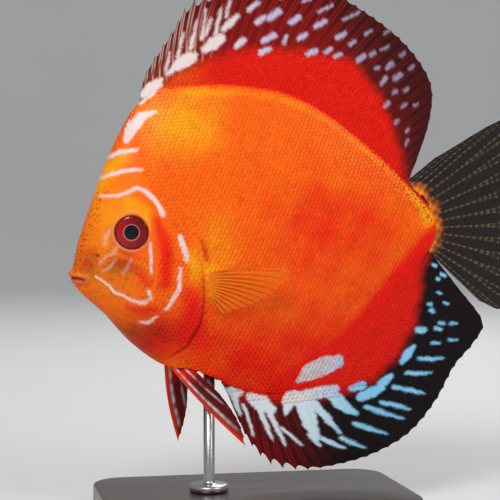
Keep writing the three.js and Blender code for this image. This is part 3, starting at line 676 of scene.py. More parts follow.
# The dorsal fin.
# Nine hard spines with free tips in front, then soft rays, in a membrane that is fleshy and scaled at
# its foot and thin at its edge. It carries pale spots that run along the rays.
dorsal_root = (30.6, 124.2)
dorsal_margin = [(31.6, 63), (34.4, 69), (40.5, 76.6), (45.5, 83), (52, 91), (64.3, 94.8), (79.3, 95.8),
                 (91, 94.4), (104.4, 89.4), (116, 81.6), (127, 71.8), (134.6, 61), (137.3, 51.7),
                 (134.7, 40), (128.4, 26.6)]
dorsal_marks = [
    [(31.5, 60, 1.3), (34.6, 61.7, 2.2), (37, 63.4, 1.7), (38.8, 65, 0.5)],
    [(55, 73.8, 1.2), (58.4, 75.6, 2.2), (61.2, 77.2, 1.6)], [(59.5, 79, 0.7), (62.5, 87.5, 0.35)],
    [(62.5, 80.3, 1.0), (65.7, 82.6, 1.2), (68, 84.6, 0.8)], [(64, 84.5, 0.5), (66.6, 92.5, 0.3)],
    [(40.4, 66.2, 0.5), (42.4, 67.4, 0.9), (45.6, 69.5, 2.1), (49.4, 71.2, 2.3), (51.4, 72.4, 0.8)],
    [(45, 71.5, 0.6), (48, 80, 0.4)], [(50, 74.5, 0.7), (53.4, 84, 0.4)],
    [(54.4, 77.6, 0.6), (57, 87.5, 0.3)], [(40.4, 67.6, 0.5), (42.6, 73.6, 0.35)],
    [(56, 79, 0.6), (58.4, 84, 0.5)], [(72.6, 86.4, 0.8), (75.6, 88.4, 0.9)],
    [(74.8, 81.6, 0.9), (77.6, 83.2, 0.9)], [(79.6, 82.8, 1.1), (82.8, 84.8, 1.3)],
    [(87, 80.6, 0.9), (90.2, 82.2, 0.9)], [(96, 78.4, 0.8), (99.6, 80, 0.9)],
    [(97.7, 83.6, 0.5), (103, 85.6, 0.4)], [(106.4, 80, 0.45), (112.6, 82.2, 0.35)],
    [(103.4, 73.8, 0.8), (106.4, 75, 0.8)], [(89.4, 74.6, 0.8), (92, 76, 0.9)],
    [(76.4, 75, 1.0), (80.4, 76.6, 1.1)], [(83.8, 73.6, 0.6), (84.8, 76, 0.6)],
    [(74.8, 70.8, 1.0), (78.2, 72, 0.9)], [(66.6, 74, 1.0), (69, 75.8, 1.1)],
    [(92, 68.8, 0.8), (95, 69.8, 0.9)], [(98.6, 69, 0.7), (100.6, 70, 0.7)],
    [(102, 67, 0.7), (104, 67.8, 0.8)], [(110.4, 65.2, 0.9), (112.6, 66.4, 0.9)],
    [(115.4, 66.6, 0.7), (116.8, 67.4, 0.6)], [(119.4, 68.2, 0.4), (122.2, 69.2, 0.4)],
    [(116.4, 61.6, 0.5), (117.8, 62, 0.5)], [(121, 61.6, 0.8), (122.8, 62.8, 0.9)],
    [(118.4, 56.2, 0.8), (119.8, 57.8, 0.8)], [(123.4, 57.4, 0.9), (125.6, 58.6, 0.9)],
    [(122.4, 52.4, 0.6), (123.4, 53, 0.6)], [(126.6, 52.8, 0.5), (127.8, 53.4, 0.5)],
    [(118.8, 47.8, 0.7), (120, 49, 0.7)], [(125.2, 47, 0.6), (126.4, 47.8, 0.6)],
    [(125.2, 33.6, 0.5), (126, 34.8, 0.5)], [(126, 38, 0.5), (126.6, 38.8, 0.4)],
    [(122, 41.4, 0.5), (123, 42.2, 0.5)], [(129.6, 60.4, 0.5), (130.8, 61.4, 0.5)],
    [(126.6, 65.4, 0.5), (128, 66.4, 0.5)], [(130, 47, 0.5), (131, 47.6, 0.4)],
    [(108, 71, 0.6), (110, 72, 0.6)], [(114, 74.2, 0.5), (116.4, 75.2, 0.4)],
    [(121.4, 74, 0.4), (124, 75, 0.3)], [(84, 89.6, 0.5), (87.4, 91.2, 0.4)],
    [(92.4, 87.6, 0.5), (95.8, 88.8, 0.4)],
]
dorsal_sheath = [(30, 58.5), (38.5, 63), (49.2, 68.5), (60, 71.4), (71.2, 72.2), (89.3, 70.6),
                 (106.6, 65.9), (111.3, 60.9), (117.4, 50.8), (120.5, 41.3), (122.6, 32), (123.4, 20.7)]


def smooth_route(points, count=400):
    """Evenly spaced places on a smooth route through the points, looked up by t from 0 to 1."""
    points = np.array(points, float)
    ends = np.r_[[2 * points[0] - points[1]], points, [2 * points[-1] - points[-2]]]
    t = np.linspace(0, len(points) - 1 - 1e-9, count)
    i = t.astype(int)
    f = (t - i)[:, None]
    p0, p1, p2, p3 = ends[i], ends[i + 1], ends[i + 2], ends[i + 3]
    line = 0.5 * (2 * p1 + (p2 - p0) * f + (2 * p0 - 5 * p1 + 4 * p2 - p3) * f ** 2
                  + (3 * p1 - p0 - 3 * p2 + p3) * f ** 3)
    run = np.r_[0, np.cumsum(np.hypot(*np.diff(line, axis=0).T))]
    run /= run[-1]
    return lambda s: (np.interp(s, run, line[:, 0]), np.interp(s, run, line[:, 1]))


foot_sunk = 1.2


def median_place(height, over, root, margin, lead, bow):
    """The middle sheet of a fin on the body's edge: s along its foot, t from foot to margin."""
    tip_at = smooth_route(margin)

    def place(s, t):
        u = root[0] + (root[1] - root[0]) * s
        root_w = height(u) - over * foot_sunk
        tip_u, tip_w = tip_at(s + lead * s * (1 - s) ** 3)
        curve = bow * np.sin(math.pi * t) * np.abs(tip_w - root_w)
        return u + (tip_u - u) * t - curve, np.zeros_like(t + s), root_w + (tip_w - root_w) * t

    return place


def fin_sheet(place, rays, across, rows, root_half, thin, ridge, notch, taper, side=(0, 1, 0), joints=1.1):
    """A closed thin fin. Rays stand up from its membrane, fork towards the margin and are jointed.

    Gives its points in fish millimetres, its faces, and masks of ray, of distance from the foot and of
    the share of the way along the foot."""
    columns = (rays - 1) * across + 1
    s = np.linspace(0, 1, columns)[:, None]
    off_ray = (s * (rays - 1)) % 1
    off_ray = np.minimum(off_ray, 1 - off_ray) * 2
    reach = 1 - notch(s) * np.sin(off_ray * math.pi / 2) ** 0.8
    t = np.linspace(0, 1, rows + 1)[None, :] * reach
    u, y, w = place(s, t)
    small_step = 1e-3
    next_u, _, next_w = place(s + small_step, t)
    spacing = np.hypot(next_u - u, next_w - w) / small_step / (rays - 1)
    fork = smoothstep(0.35, 0.8, t) * spacing * 0.17
    ray = bump(off_ray / 2 * spacing - fork, 0, 0.22 + 0.1 * (1 - t))
    strides = np.hypot(np.diff(u, axis=1, prepend=u[:, :1]), np.diff(w, axis=1, prepend=w[:, :1]))
    length = np.cumsum(strides, axis=1)
    beads = 1 - 0.22 * (0.5 + 0.5 * np.cos(length / joints * 2 * math.pi)) * smoothstep(0.15, 0.4, t)
    half = thin * (1 - 0.35 * t) + (root_half(s) - thin) * (1 - np.clip(t, 0, 1)) ** taper
    half = half + ridge * ray * beads * (1 - 0.6 * t) * smoothstep(0.12, 0.45, t)
    half = half * (smoothstep(0, 0.015, reach - t) * 0.6 + 0.4)
    middle = np.stack([u, y, w], -1)
    thick = half[..., None] * np.array(side)
    points = np.concatenate([(middle - thick).reshape(-1, 3), (middle + thick).reshape(-1, 3)])
    down = rows + 1
    grid = grid_faces(columns, down, False)
    far_side = columns * down
    loop = np.r_[
        np.arange(down), np.arange(1, columns) * down + down - 1,
        (columns - 1) * down + np.arange(down - 2, -1, -1), np.arange(columns - 2, 0, -1) * down,
    ]
    after = np.roll(loop, -1)
    rim = np.stack([loop, after, after + far_side, loop + far_side], -1)
    faces = np.concatenate([grid[:, ::-1], grid + far_side, rim[:, ::-1]])
    masks = {"ray": ray * beads, "outward": t, "lead": s, "u": u, "w": w}
    return points, faces, {name: np.tile((values + 0 * t).ravel(), 2) for name, values in masks.items()}


def within(u, w, limit, feather):
    """1 on the body's side of a sheath's limit and 0 beyond it, across a feathered edge."""
    gap, side = beside(u, w, limit)
    return smoothstep(-feather, feather, gap * side + 0.7 * ripple(u, w, 3, 7.0))


def dorsal_pigments(u, w, masks):
    inside = within(u, w, dorsal_sheath, 2.8)
    spiny = smoothstep(62, 46, u)
    outer = smoothstep(0.4, 1, masks["outward"])
    rear = smoothstep(90, 125, u)
    ray = masks["ray"]
    smoky = 0.82 + 0.14 * outer + 0.1 * rear - 0.3 * ray * (1 - 0.6 * rear)
    dark = (1 - inside) * smoky + 0.14 * inside
    streaks = stroked(u + 0.3 * ripple(u, w, 1.2, 2), w + 0.3 * ripple(u, w, 1.1, 9), dorsal_marks, 0.62)
    spines = 0.52 * spiny * ray * smoothstep(0.12, 0.3, masks["outward"])
    pale = np.maximum(streaks * (0.94 - 0.42 * rear), spines)
    gold = 0.5 * spiny * ray + 0.5 * bump(masks["outward"], 1, 0.03)
    blue = 0.08 + 0.6 * smoothstep(56, 84, u)
    return shares(gold=gold, ember=0.98 - 0.42 * spiny, dark=dark, pale=pale, blue=blue)


def fin_material(name, dark, alpha=None, rays=None, blue=None, pale=None):
    """A wet rayed membrane; rays may be paler and more solid than the membrane between them."""
    material, tree, shader = new_material(name, 0.42, coat=0.03, specular=0.1)
    colour, node = pigmented(tree)
    node.inputs["Dark Colour"].default_value = dark
    if blue:
        node.inputs["Blue Colour"].default_value = blue
    if pale:
        node.inputs["Pale Colour"].default_value = pale
    if rays:
        colour = mix_colour(tree, scaled(tree, mask_of(tree, "ray"), rays[1]), colour, rays[0])
    tree.links.new(colour, shader.inputs["Base Color"])
    if alpha:
        solid = arithmetic(tree, "MULTIPLY_ADD", mask_of(tree, "ray"), alpha[1] - alpha[0], alpha[0])
        foot = arithmetic(tree, "SUBTRACT", 1.0, mask_of(tree, "outward"))
        foot = ramp(tree, foot, 0.8, 1.0)
        tree.links.new(arithmetic(tree, "MAXIMUM", solid, foot), shader.inputs["Alpha"])
    creases = arithmetic(tree, "MULTIPLY_ADD", noise(tree, 1300, 2), 0.4, noise(tree, 300, 3))
    raise_bumps(tree, shader, creases, 0.00007)
    return material


def finish_fin(name, sheet, pigments_of, material, slot, *nodes):
    points, faces, masks = sheet
    u, w = masks.pop("u"), masks.pop("w")
    masks.update(pigments_of(u, w, masks))
    placed = in_room(*points.T)
    fin = make_piece(name, placed, facing_out(placed, faces), masks)
    fin.data.materials.append(material)
    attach(fin, "root")
    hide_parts(*nodes)
    return fin


spine_share = 0.3
dorsal_sheet = fin_sheet(
    median_place(back_height, 1, dorsal_root, dorsal_margin, lead=0.4, bow=0.05),
    rays=40, across=6, rows=72, thin=0.2, ridge=0.2, taper=1.5,
    root_half=lambda s: back_half(dorsal_root[0] + (dorsal_root[1] - dorsal_root[0]) * s),
    notch=lambda s: 0.012 + 0.1 * smoothstep(spine_share + 0.06, spine_share - 0.08, s),
)
dorsal_membrane = fin_material("dorsal_membrane", srgb(54, 14, 12), blue=srgb(160, 156, 214))
dorsal = finish_fin("dorsal_fin", dorsal_sheet, dorsal_pigments, dorsal_membrane, "fin_membrane",
                    "dorsal_fin_spiny", "dorsal_fin_soft")

# The anal fin.
# It mirrors the dorsal along the belly: a few hard spines, then soft rays, a red scaled foot and a
# nearly black outer half crossed by pale patches in front and blue streaks along the rays behind.
anal_root = (49, 129.8)
anal_margin = [(50.8, -48.4), (53.6, -58.5), (57.4, -68), (64.5, -76), (76, -79), (90, -78.8),
               (103, -76.6), (116, -71.2), (127, -61.2), (135.8, -49), (144, -41.5), (148.2, -34),
               (140, -20.6), (132.4, -9.2)]
anal_marks = [
    [(50.2, -47, 1.4), (53.5, -47.3, 2.2), (56.4, -45.6, 1.3)], [(52.4, -49, 1.3), (54.1, -55.6, 0.5)],
    [(55.5, -52.6, 0.6), (57.1, -58.2, 0.6), (58.3, -63.8, 0.35)],
    [(58.2, -49.8, 1.6), (62.2, -53, 3), (65.6, -55.6, 1.7)], [(61.5, -55.6, 1.1), (64.7, -66, 0.4)],
    [(65, -57.4, 1.1), (69.4, -69, 0.4)], [(68.6, -62.6, 0.6), (75.6, -70, 0.35)],
    [(71.6, -53, 2), (76.9, -53, 2.7), (84, -51.7, 2.1), (89.3, -51.3, 1.6)],
    [(73.2, -51.4, 2.4), (71.6, -54.4, 2.0), (70.8, -57.2, 1.0)],
    [(79, -53, 2), (79, -60, 2.7), (81.2, -68.4, 1.2)],
    [(87.4, -52.4, 2.1), (90.3, -55.6, 2.3), (93.7, -59.3, 1.7), (96.8, -61.1, 0.7)],
    [(76.2, -55, 1.8), (78, -62.4, 1.4), (80.6, -68.6, 0.7)],
    [(81.2, -55.6, 1.3), (84, -59.2, 1.5), (90, -67.4, 0.5)], [(95.8, -51.8, 1.0), (99.8, -51.3, 1.6)],
    [(98.8, -55.4, 1.6), (103.2, -54.4, 2.0), (107, -53.1, 1.4)],
    [(106.6, -52, 1.2), (109, -50.6, 1.6), (111, -49.4, 1.0)],
    [(115.6, -44.8, 1.0), (118.2, -42.2, 1.5), (120.4, -40, 1.0)],
    [(122.3, -44.4, 0.7), (127, -45.3, 0.75), (131.4, -45.6, 0.3)],
    [(116.9, -49, 0.7), (122, -50, 0.75), (126.3, -50.3, 0.3)],
    [(111.8, -53.4, 0.8), (117, -55.4, 0.8), (122.9, -57.3, 0.3)],
    [(106.6, -58.5, 0.8), (112, -60.4, 0.8), (117, -62.4, 0.3)],
    [(100.6, -59.3, 0.8), (107, -62.4, 0.85), (114, -65.6, 0.3)],
    [(95.8, -64.9, 0.8), (101.5, -67.6, 0.8), (107.4, -70.3, 0.3)],
    [(90.4, -69.5, 0.8), (94.6, -72, 0.75), (99, -74.3, 0.3)],
    [(83.2, -68.6, 0.8), (87, -71, 0.75), (91.2, -73.2, 0.3)], [(78.5, -66.6, 0.8), (82.2, -71.2, 0.4)],
    [(131, -11, 0.5), (131.9, -11.6, 0.5)], [(134, -14.8, 0.6), (135.1, -15.4, 0.6)],
    [(131.8, -16.2, 0.5), (132.6, -16.7, 0.5)], [(131.6, -21.2, 0.4), (132.8, -22, 0.4)],
    [(127.8, -24.9, 0.6), (128.9, -25.4, 0.6)], [(128.2, -27.4, 0.7), (129.4, -28.2, 0.6)],
    [(134, -25.3, 0.5), (135.3, -25.9, 0.5)], [(131.4, -32.4, 0.6), (133, -33, 0.5)],
    [(122.9, -33.9, 1.2), (125.1, -34.4, 1.1)], [(129.6, -34.2, 0.6), (131.6, -34.8, 0.6)],
    [(128, -39.3, 0.6), (130.4, -39.9, 0.5)], [(135.6, -33, 0.5), (137.8, -33.6, 0.4)],
    [(134.6, -39, 0.5), (137.2, -39.6, 0.4)],
]
anal_sheath = [(48, -42), (55, -50), (76.2, -54), (91.3, -53), (105.1, -49.6), (114.8, -41.4),
               (121, -32.7), (124.9, -20.7), (126.4, -12.8), (130.4, -4)]


def anal_pigments(u, w, masks):
    inside = 1 - within(u, w, anal_sheath, 3.0)
    front = smoothstep(92, 60, u)
    ray = masks["ray"]
    dark = (1 - inside) * (1 - 0.08 * front - 0.25 * front * ray) + 0.2 * inside
    marks = anal_marks + [belly_stroke]
    streaks = stroked(u + 0.3 * ripple(u, w, 1.5, 2), w + 0.3 * ripple(u, w, 1.3, 9), marks, 0.45)
    blue = 0.1 + 0.9 * smoothstep(70, 104, u)
    return shares(ember=0.96, dark=dark, pale=streaks, blue=blue)


anal_sheet = fin_sheet(
    median_place(belly_height, -1, anal_root, anal_margin, lead=0.2, bow=0.05),
    rays=37, across=6, rows=72, thin=0.2, ridge=0.2, taper=1.5,
    root_half=lambda s: belly_half(anal_root[0] + (anal_root[1] - anal_root[0]) * s) * 0.92,
    notch=lambda s: 0.012 + 0.1 * smoothstep(0.3, 0.16, s),
)
anal_membrane = fin_material(
    "anal_membrane", srgb(18, 11, 15), blue=srgb(120, 196, 232), pale=srgb(226, 234, 236),
)
anal = finish_fin("anal_fin", anal_sheet, anal_pigments, anal_membrane, "fin_membrane",
                  "anal_fin_spiny", "anal_fin_soft")

# The tail fin.
# A broad fan of forked, jointed rays in a thin smoky membrane, rooted along the rounded end of the body.
# It is one dark clear sheet with its rays raised on both faces, and its foot is sunk into the flesh.
tail_margin = [(135.9, 27.6), (166.2, 39.6), (170.4, 27), (172, 12), (171.5, -1), (168.6, -14.4),
               (163.6, -25), (155.8, -30.4), (147.6, -26.4)]
tail_overlap = 1.4
tail_dot_pitch = 2.3
tail_tip_at = smooth_route(tail_margin)


def tail_place(s, t):
    tip_u, tip_w = tail_tip_at(s)
    root_u, root_w = hoop_line(tail_end, math.pi * (0.03 + 0.94 * s))
    root_u = root_u - tail_overlap
    return root_u + (tip_u - root_u) * t, np.zeros_like(t), root_w + (tip_w - root_w) * t


def tail_pigments(u, w, masks):
    foot = smoothstep(0.13, 0.02, masks["outward"] + 0.03 * ripple(u, w, 2, 1.0))
    reach = np.hypot(u - 124, w - 6)
    wave = np.cos(reach / tail_dot_pitch * 2 * math.pi + ripple(u, w, 6, 2.0))
    dots = smoothstep(0.3, 0.9, wave) * masks["ray"]
    return shares(gold=foot * 0.8, ember=0.2, dark=1 - foot, pale=0.28 * dots * smoothstep(8, 16, reach))


tail_sheet = fin_sheet(
    tail_place, rays=17, across=12, rows=80, thin=0.14, ridge=0.2, taper=3.0, joints=1.3,
    root_half=lambda s: 1.35, notch=lambda s: 0.015,
)
tail_membrane = fin_material(
    "tail_membrane", srgb(26, 18, 13), alpha=(0.82, 0.97), rays=(srgb(96, 72, 46), 0.5),
)
finish_fin("tail_fin", tail_sheet, tail_pigments, tail_membrane, "clear_fin", "caudal_fin")

# The pectoral fins.
# Clear amber fans rooted behind the gill covers, spread away from the flanks. Each is a thin clear
# sheet with raised amber rays, and its narrow foot is sunk into the skin.
pectoral_root_u = 46.2
pectoral_root_w = (-3.6, -12)
pectoral_margin = [(73.4, -5.2), (70.5, -9.4), (64.6, -13.6), (57, -16.8), (49.6, -18.4)]
pectoral_splay = math.radians(22)
pectoral_sunk = 1.4


def pectoral_place(side):
    tip_at = smooth_route(pectoral_margin)
    root_y = float(body_half(pectoral_root_u, sum(pectoral_root_w) / 2))

    def place(s, t):
        root_w = pectoral_root_w[0] + (pectoral_root_w[1] - pectoral_root_w[0]) * s
        tip_u, tip_w = tip_at(s)
        u = pectoral_root_u + (tip_u - pectoral_root_u) * t
        w = root_w + (tip_w - root_w) * t + 1.2 * np.sin(math.pi * t) * (1 - s)
        y = root_y - pectoral_sunk + (u - pectoral_root_u + 2) * math.tan(pectoral_splay)
        return u, side * y, w

    return place


def pectoral_pigments(u, w, masks):
    return shares(gold=0.3, ember=0.3 * masks["outward"], dark=0.2 * (1 - masks["ray"]))


pectoral_membrane = fin_material(
    "pectoral_membrane", srgb(120, 50, 20), alpha=(0.12, 0.9), rays=(srgb(232, 140, 36), 0.6),
)
for side, name in ((-1, "left"), (1, "right")):
    outward = (-math.sin(pectoral_splay), side * math.cos(pectoral_splay), 0)
    sheet = fin_sheet(
        pectoral_place(side), rays=12, across=10, rows=60, thin=0.1, ridge=0.16, taper=3.0, side=outward,
        root_half=lambda s: 0.7, notch=lambda s: 0.02,
    )
    finish_fin("pectoral_fin_" + name + "_rays", sheet, pectoral_pigments, pectoral_membrane, "clear_fin",
               "pectoral_fin_" + name)

# The pelvic fins.
# Narrow red fins hung from the belly: a stiff leading spine with a pale line, then trailing rays.
# Each is a thin painted blade, and its foot is sunk into the belly.
pelvic_root = (29.6, 37.6)
pelvic_margins = {
    "left": [(53.8, -66.3), (53, -60), (50.4, -53.4), (46.4, -46.6)],
    "right": [(32.3, -64), (35, -57.6), (36.8, -51.4), (37.6, -46)],
}


def pelvic_place(side, margin):
    tip_at = smooth_route(margin)

    def place(s, t):
        root_u = pelvic_root[0] + (pelvic_root[1] - pelvic_root[0]) * s
        tip_u, tip_w = tip_at(s)
        y = 2.6 + 5 * (t * t * 0.6 + t * 0.4)
        root_w = belly_height(root_u) + foot_sunk
        u = root_u + (tip_u - root_u) * t - 1.2 * np.sin(math.pi * t) * (1 - s)
        return u, side * y, root_w + (tip_w - root_w) * t

    return place


def pelvic_pigments(u, w, masks):
    lead = bump(masks["lead"], 0.2, 0.05) + 0.7 * bump(masks["lead"], 0.62, 0.05)
    front = smoothstep(0.2, 0.02, masks["lead"])
    broken = 0.62 + 0.5 * ripple(u, w, 2.6, 3)
    pale = np.clip(lead * smoothstep(1.0, 0.75, masks["outward"]) * broken, 0, 0.9)
    dark = (0.9 * (1 - front) + 0.25 * front) * smoothstep(0.0, 0.4, masks["outward"])
    return shares(gold=0.2 * front, ember=0.95 - 0.3 * front, dark=dark, pale=pale, blue=0.3)


pelvic_membrane = fin_material("pelvic_membrane", srgb(58, 10, 10))
for side, name in ((-1, "left"), (1, "right")):
    sheet = fin_sheet(
        pelvic_place(side, pelvic_margins[name]), rays=7, across=10, rows=60, thin=0.22, ridge=0.2, taper=1.6,
        root_half=lambda s: 1.0, notch=lambda s: 0.02,
    )
    finish_fin("pelvic_fin_" + name + "_rays", sheet, pelvic_pigments, pelvic_membrane, "fin_membrane",
               "pelvic_fin_" + name)

# The scales.
# Small overlapping plates over flanks, cheeks and the fleshy feet of the fins. Each is a thin shield
# with its root in the skin and its rear edge just lifted, set in staggered rows that run to the tail.
scale_pitch = 1.62
scale_rows = 1.34
sides_of_scale = 9
scale_lift = 0.12
seed_wander = 0.07
scale_reach = 0.74
scale_spread = 0.82
ray_start = 100.0
ray_length = 0.11
nearest_middle = 0.00012
bare_crown = [(20, 60), (24.5, 44), (29.5, 26), (31.5, 21)]
rng = np.random.default_rng(11)


def rays_onto(pieces):
    """A tree of the given pieces that tells where a line across the fish meets them."""
    points, faces = [], []
    for piece in pieces:
        mesh = piece.data
        start = len(points)
        points += [v.co.copy() for v in mesh.vertices]
        faces += [[start + i for i in p.vertices] for p in mesh.polygons]
    return BVHTree.FromPolygons(points, faces)


def scale_seeds():
    """Staggered places on the side of the fish where a scale is rooted, with its size."""
    rows = []
    for number, w in enumerate(np.arange(-60, 84, scale_rows)):
        u = np.arange(8, 132, scale_pitch) + (number % 2) * scale_pitch / 2
        rows.append(np.stack([u, np.full_like(u, w)], -1))
    seeds = np.concatenate(rows)
    seeds = seeds + rng.normal(0, seed_wander, seeds.shape)
    u, w = seeds.T
    top, bottom = back_height(u), belly_height(u)
    in_body = (w < top + 0.5) & (w > bottom - 0.5) & (u < 131)
    crown, crown_side = beside(u, w, bare_crown)
    behind_head = ((crown * crown_side < 0) & (w > 19)) | (u > 33)
    cheek = (u > 22) & (w < 5) & (w > -26) & (u + w * 0.2 > 20)
    eye = np.hypot(u - eye_centre[0], w - eye_centre[1]) < 8.6
    gill, _ = beside(u, w, gill_line)
    fold, _ = beside(u, w, cheek_line)
    on_flap_edge = ((gill < 0.75) & (w < 22)) | ((fold < 0.85) & (w < 14))
    pale_line = (stroked(u, w, pale_strokes, 0.3) > 0.5) & (u < 42)
    body = in_body & (behind_head | cheek) & ~eye & ~on_flap_edge & ~pale_line
    above, side = beside(u, w, dorsal_sheath)
    dorsal_foot = (w >= top + 0.5) & (above * side > -0.4) & (u > 33) & (u < 123) & (w < 73)
    below, side = beside(u, w, anal_sheath)
    anal_foot = (w <= bottom - 0.5) & (below * side < 0.4) & (u > 51) & (u < 129) & (w > -57)
    on_foot = dorsal_foot | anal_foot
    keep = body | on_foot
    size = np.where(u < 44, 0.86, 1.0) * np.where(on_foot, 0.9, 1.0)
    return u[keep], w[keep], size[keep]


def girth_place(u, w):
    """How far up the fish's girth a place lies, measured along the skin from the belly's edge."""
    top, bottom = back_height(u), belly_height(u)
    share = np.linspace(0, 1, 30)
    ws = bottom[:, None] + (np.clip(w, bottom, top) - bottom)[:, None] * share
    ys = body_half(u[:, None] + 0 * ws, ws)
    along_skin = np.hypot(np.diff(ws, axis=1), np.diff(ys, axis=1)).sum(1)
    return along_skin + np.maximum(w - top, 0) - np.maximum(bottom - w, 0)


def one_scale():
    """A scale's own shape: how far along, across and up its corners lie, its rim, and its triangles."""
    angle = np.arange(sides_of_scale) / sides_of_scale * 2 * math.pi
    parts = [(np.zeros(1), np.zeros(1), np.full(1, 0.05), np.zeros(1))]
    for radius, height, lift in ((0.6, 0.035, scale_lift), (1.0, 0.0, scale_lift), (1.0, -0.34, 0)):
        along = radius * np.cos(angle) * (1 + 0.12 * np.cos(angle))
        across = radius * np.sin(angle)
        parts.append((along, across, height + lift * along, np.full(sides_of_scale, radius)))
    along, across, up, rim = (np.concatenate(part) for part in zip(*parts))
    ring = np.arange(sides_of_scale)
    after = (ring + 1) % sides_of_scale
    faces = [np.stack([0 * ring, 1 + ring, 1 + after], -1)]
    for start in (1, 1 + sides_of_scale):
        outer = start + sides_of_scale
        faces.append(np.stack([start + ring, outer + ring, outer + after], -1))
        faces.append(np.stack([start + ring, outer + after, start + after], -1))
    return along, across, up, rim, np.concatenate(faces)


along, across, up, rim, scale_faces = one_scale()


def scale_coat(side, tree):
    """Every scale of one side: its root and corners in fish millimetres, its points in room metres."""
    u, w, size = scale_seeds()
    origins = in_room(u, np.full_like(u, side * ray_start), w)
    found = []
    for i, origin in enumerate(origins):
        hit, normal, _, _ = tree.ray_cast(Vector(origin), Vector((0, -side, 0)), ray_length)
        if hit is not None and hit.y * side > nearest_middle:
            if normal.y * side < 0:
                normal = -normal
            found.append((i, *hit, *normal))
    found = np.array(found)
    index = found[:, 0].astype(int)
    u, w, size = u[index], w[index], size[index]
    place, normal = found[:, 1:4], found[:, 4:7]
    cos, sin = math.cos(nose_down), math.sin(nose_down)
    lean = 0.25 * smoothstep(0, 8, w - back_height(u)) - 0.25 * smoothstep(0, 8, belly_height(u) - w)
    lie = np.stack([cos - sin * lean, 0 * lean, sin + cos * lean], -1)
    lie = lie - normal * np.sum(lie * normal, -1, keepdims=True)
    lie /= np.linalg.norm(lie, axis=-1, keepdims=True)
    cross = np.cross(normal, lie) * -side
    half_length = (scale_pitch * scale_reach * size)[:, None]
    half_width = (scale_rows * scale_spread * size)[:, None]
    points = place[:, None] + (
        lie[:, None] * (along * half_length)[..., None]
        + cross[:, None] * (across * half_width)[..., None]
        + normal[:, None] * up[:, None]
    ) / 1000
    tone = np.repeat(rng.normal(0, 1, len(u))[:, None], len(along), 1)
    return {
        "u": u, "w": w, "points": points, "tone": tone,
        "corner_u": u[:, None] + along * half_length, "corner_w": w[:, None] + across * half_width,
    }


def coat_pigments(u, w):
    """The skin's own masks on flank and head, and each fin's masks over its foot."""
    masks = body_pigments(u, w)
    plain = {"outward": 0 * u, "ray": 0 * u}
    for above, fin in ((w - back_height(u) > 0, dorsal_pigments(u, w, plain)),
                       (belly_height(u) - w > 0, anal_pigments(u, w, plain))):
        for name in masks:
            masks[name] = np.where(above, fin.get(name, 0), masks[name])
    return masks


def scale_material():
    material, tree, shader = new_material("scale_plates", 0.34, coat=0.04, specular=0.12)
    colour, _ = pigmented(tree)
    tone = arithmetic(tree, "MULTIPLY_ADD", mask_of(tree, "tone"), 0.05, 1.0)
    shade = arithmetic(tree, "MULTIPLY_ADD", ramp(tree, mask_of(tree, "rim"), 0.5, 1.0), -0.07, tone)
    tree.links.new(brightened(tree, colour, shade), shader.inputs["Base Color"])
    wet = arithmetic(tree, "MULTIPLY_ADD", noise(tree, 500, 3), 0.3, 0.26)
    tree.links.new(wet, shader.inputs["Roughness"])
    raise_bumps(tree, shader, noise(tree, 2600, 2), 0.00003)
    return material


coat_material = scale_material()
coat_base = rays_onto([skin, dorsal, anal])
coat_parts = (("front", -1, 62), ("rear", 62, 140))
bake_patch = 0.003
bake_margin = 0.02
bake_share = 0.96
unwrap_length = 135
unwrap_foot = 22
unwrap_girth = 164
for side, side_name in ((-1, "left"), (1, "right")):
    coat = scale_coat(side, coat_base)
    for part, low, high in coat_parts:
        chosen = (coat["u"] >= low) & (coat["u"] < high)
        count = chosen.sum()
        faces = (scale_faces + np.arange(count)[:, None, None] * len(along)).reshape(-1, 3)
        if side > 0:
            faces = faces[:, ::-1]
        masks = coat_pigments(coat["corner_u"][chosen].ravel(), coat["corner_w"][chosen].ravel())
        masks["rim"] = np.tile(rim, count)
        masks["tone"] = coat["tone"][chosen]
        name = "scales_" + side_name + "_" + part
        piece = make_piece(name, coat["points"][chosen].reshape(-1, 3), faces, masks)
        root_u = coat["u"][chosen] / unwrap_length
        root_v = (girth_place(coat["u"][chosen], coat["w"][chosen]) + unwrap_foot) / unwrap_girth
        patch_u = bake_margin + bake_share * root_u[:, None] + along * bake_patch / 2
        patch_v = bake_margin + bake_share * root_v[:, None] + across * bake_patch / 2
        layer = piece.data.uv_layers.new(name="OFBake")
        places = np.stack([patch_u.ravel(), patch_v.ravel()], -1)[faces.ravel()]
        layer.data.foreach_set("uv", places.astype(np.float32).ravel())
        piece.data.materials.append(coat_material)
        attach(piece, "root")

# The eyes.
# A red iris with a narrow pale ring round a black pupil, under a clear domed cornea.
# Each sits in the orbit as a flattened ball, turned with the slope of the head.
eye_radius = 5.85
pupil_radius = 2.55
eye_stand_out = 0.95
iris_rings = 40
iris_sunk = 0.75
iris_dish = 0.35
ball_sunk = 1.1
ball_depth = 2.6
cornea_sunk = 0.9
cornea_rise = 1.05
cornea_underside = 1.45


def side_axes(side):
    """The outward axis of the head's side at the eye, and two axes along the skin."""
    u, w = eye_centre
    step = 0.5
    slope_u = float(body_half(u + step, w) - body_half(u - step, w))
    slope_w = float(body_half(u, w + step) - body_half(u, w - step))
    out = np.array([-slope_u, side, -slope_w])
    out /= np.linalg.norm(out)
    forward = np.array([-1.0, 0, 0])
    forward = forward - out * forward.dot(out)
    forward /= np.linalg.norm(forward)
    return out, forward, np.cross(out, forward)


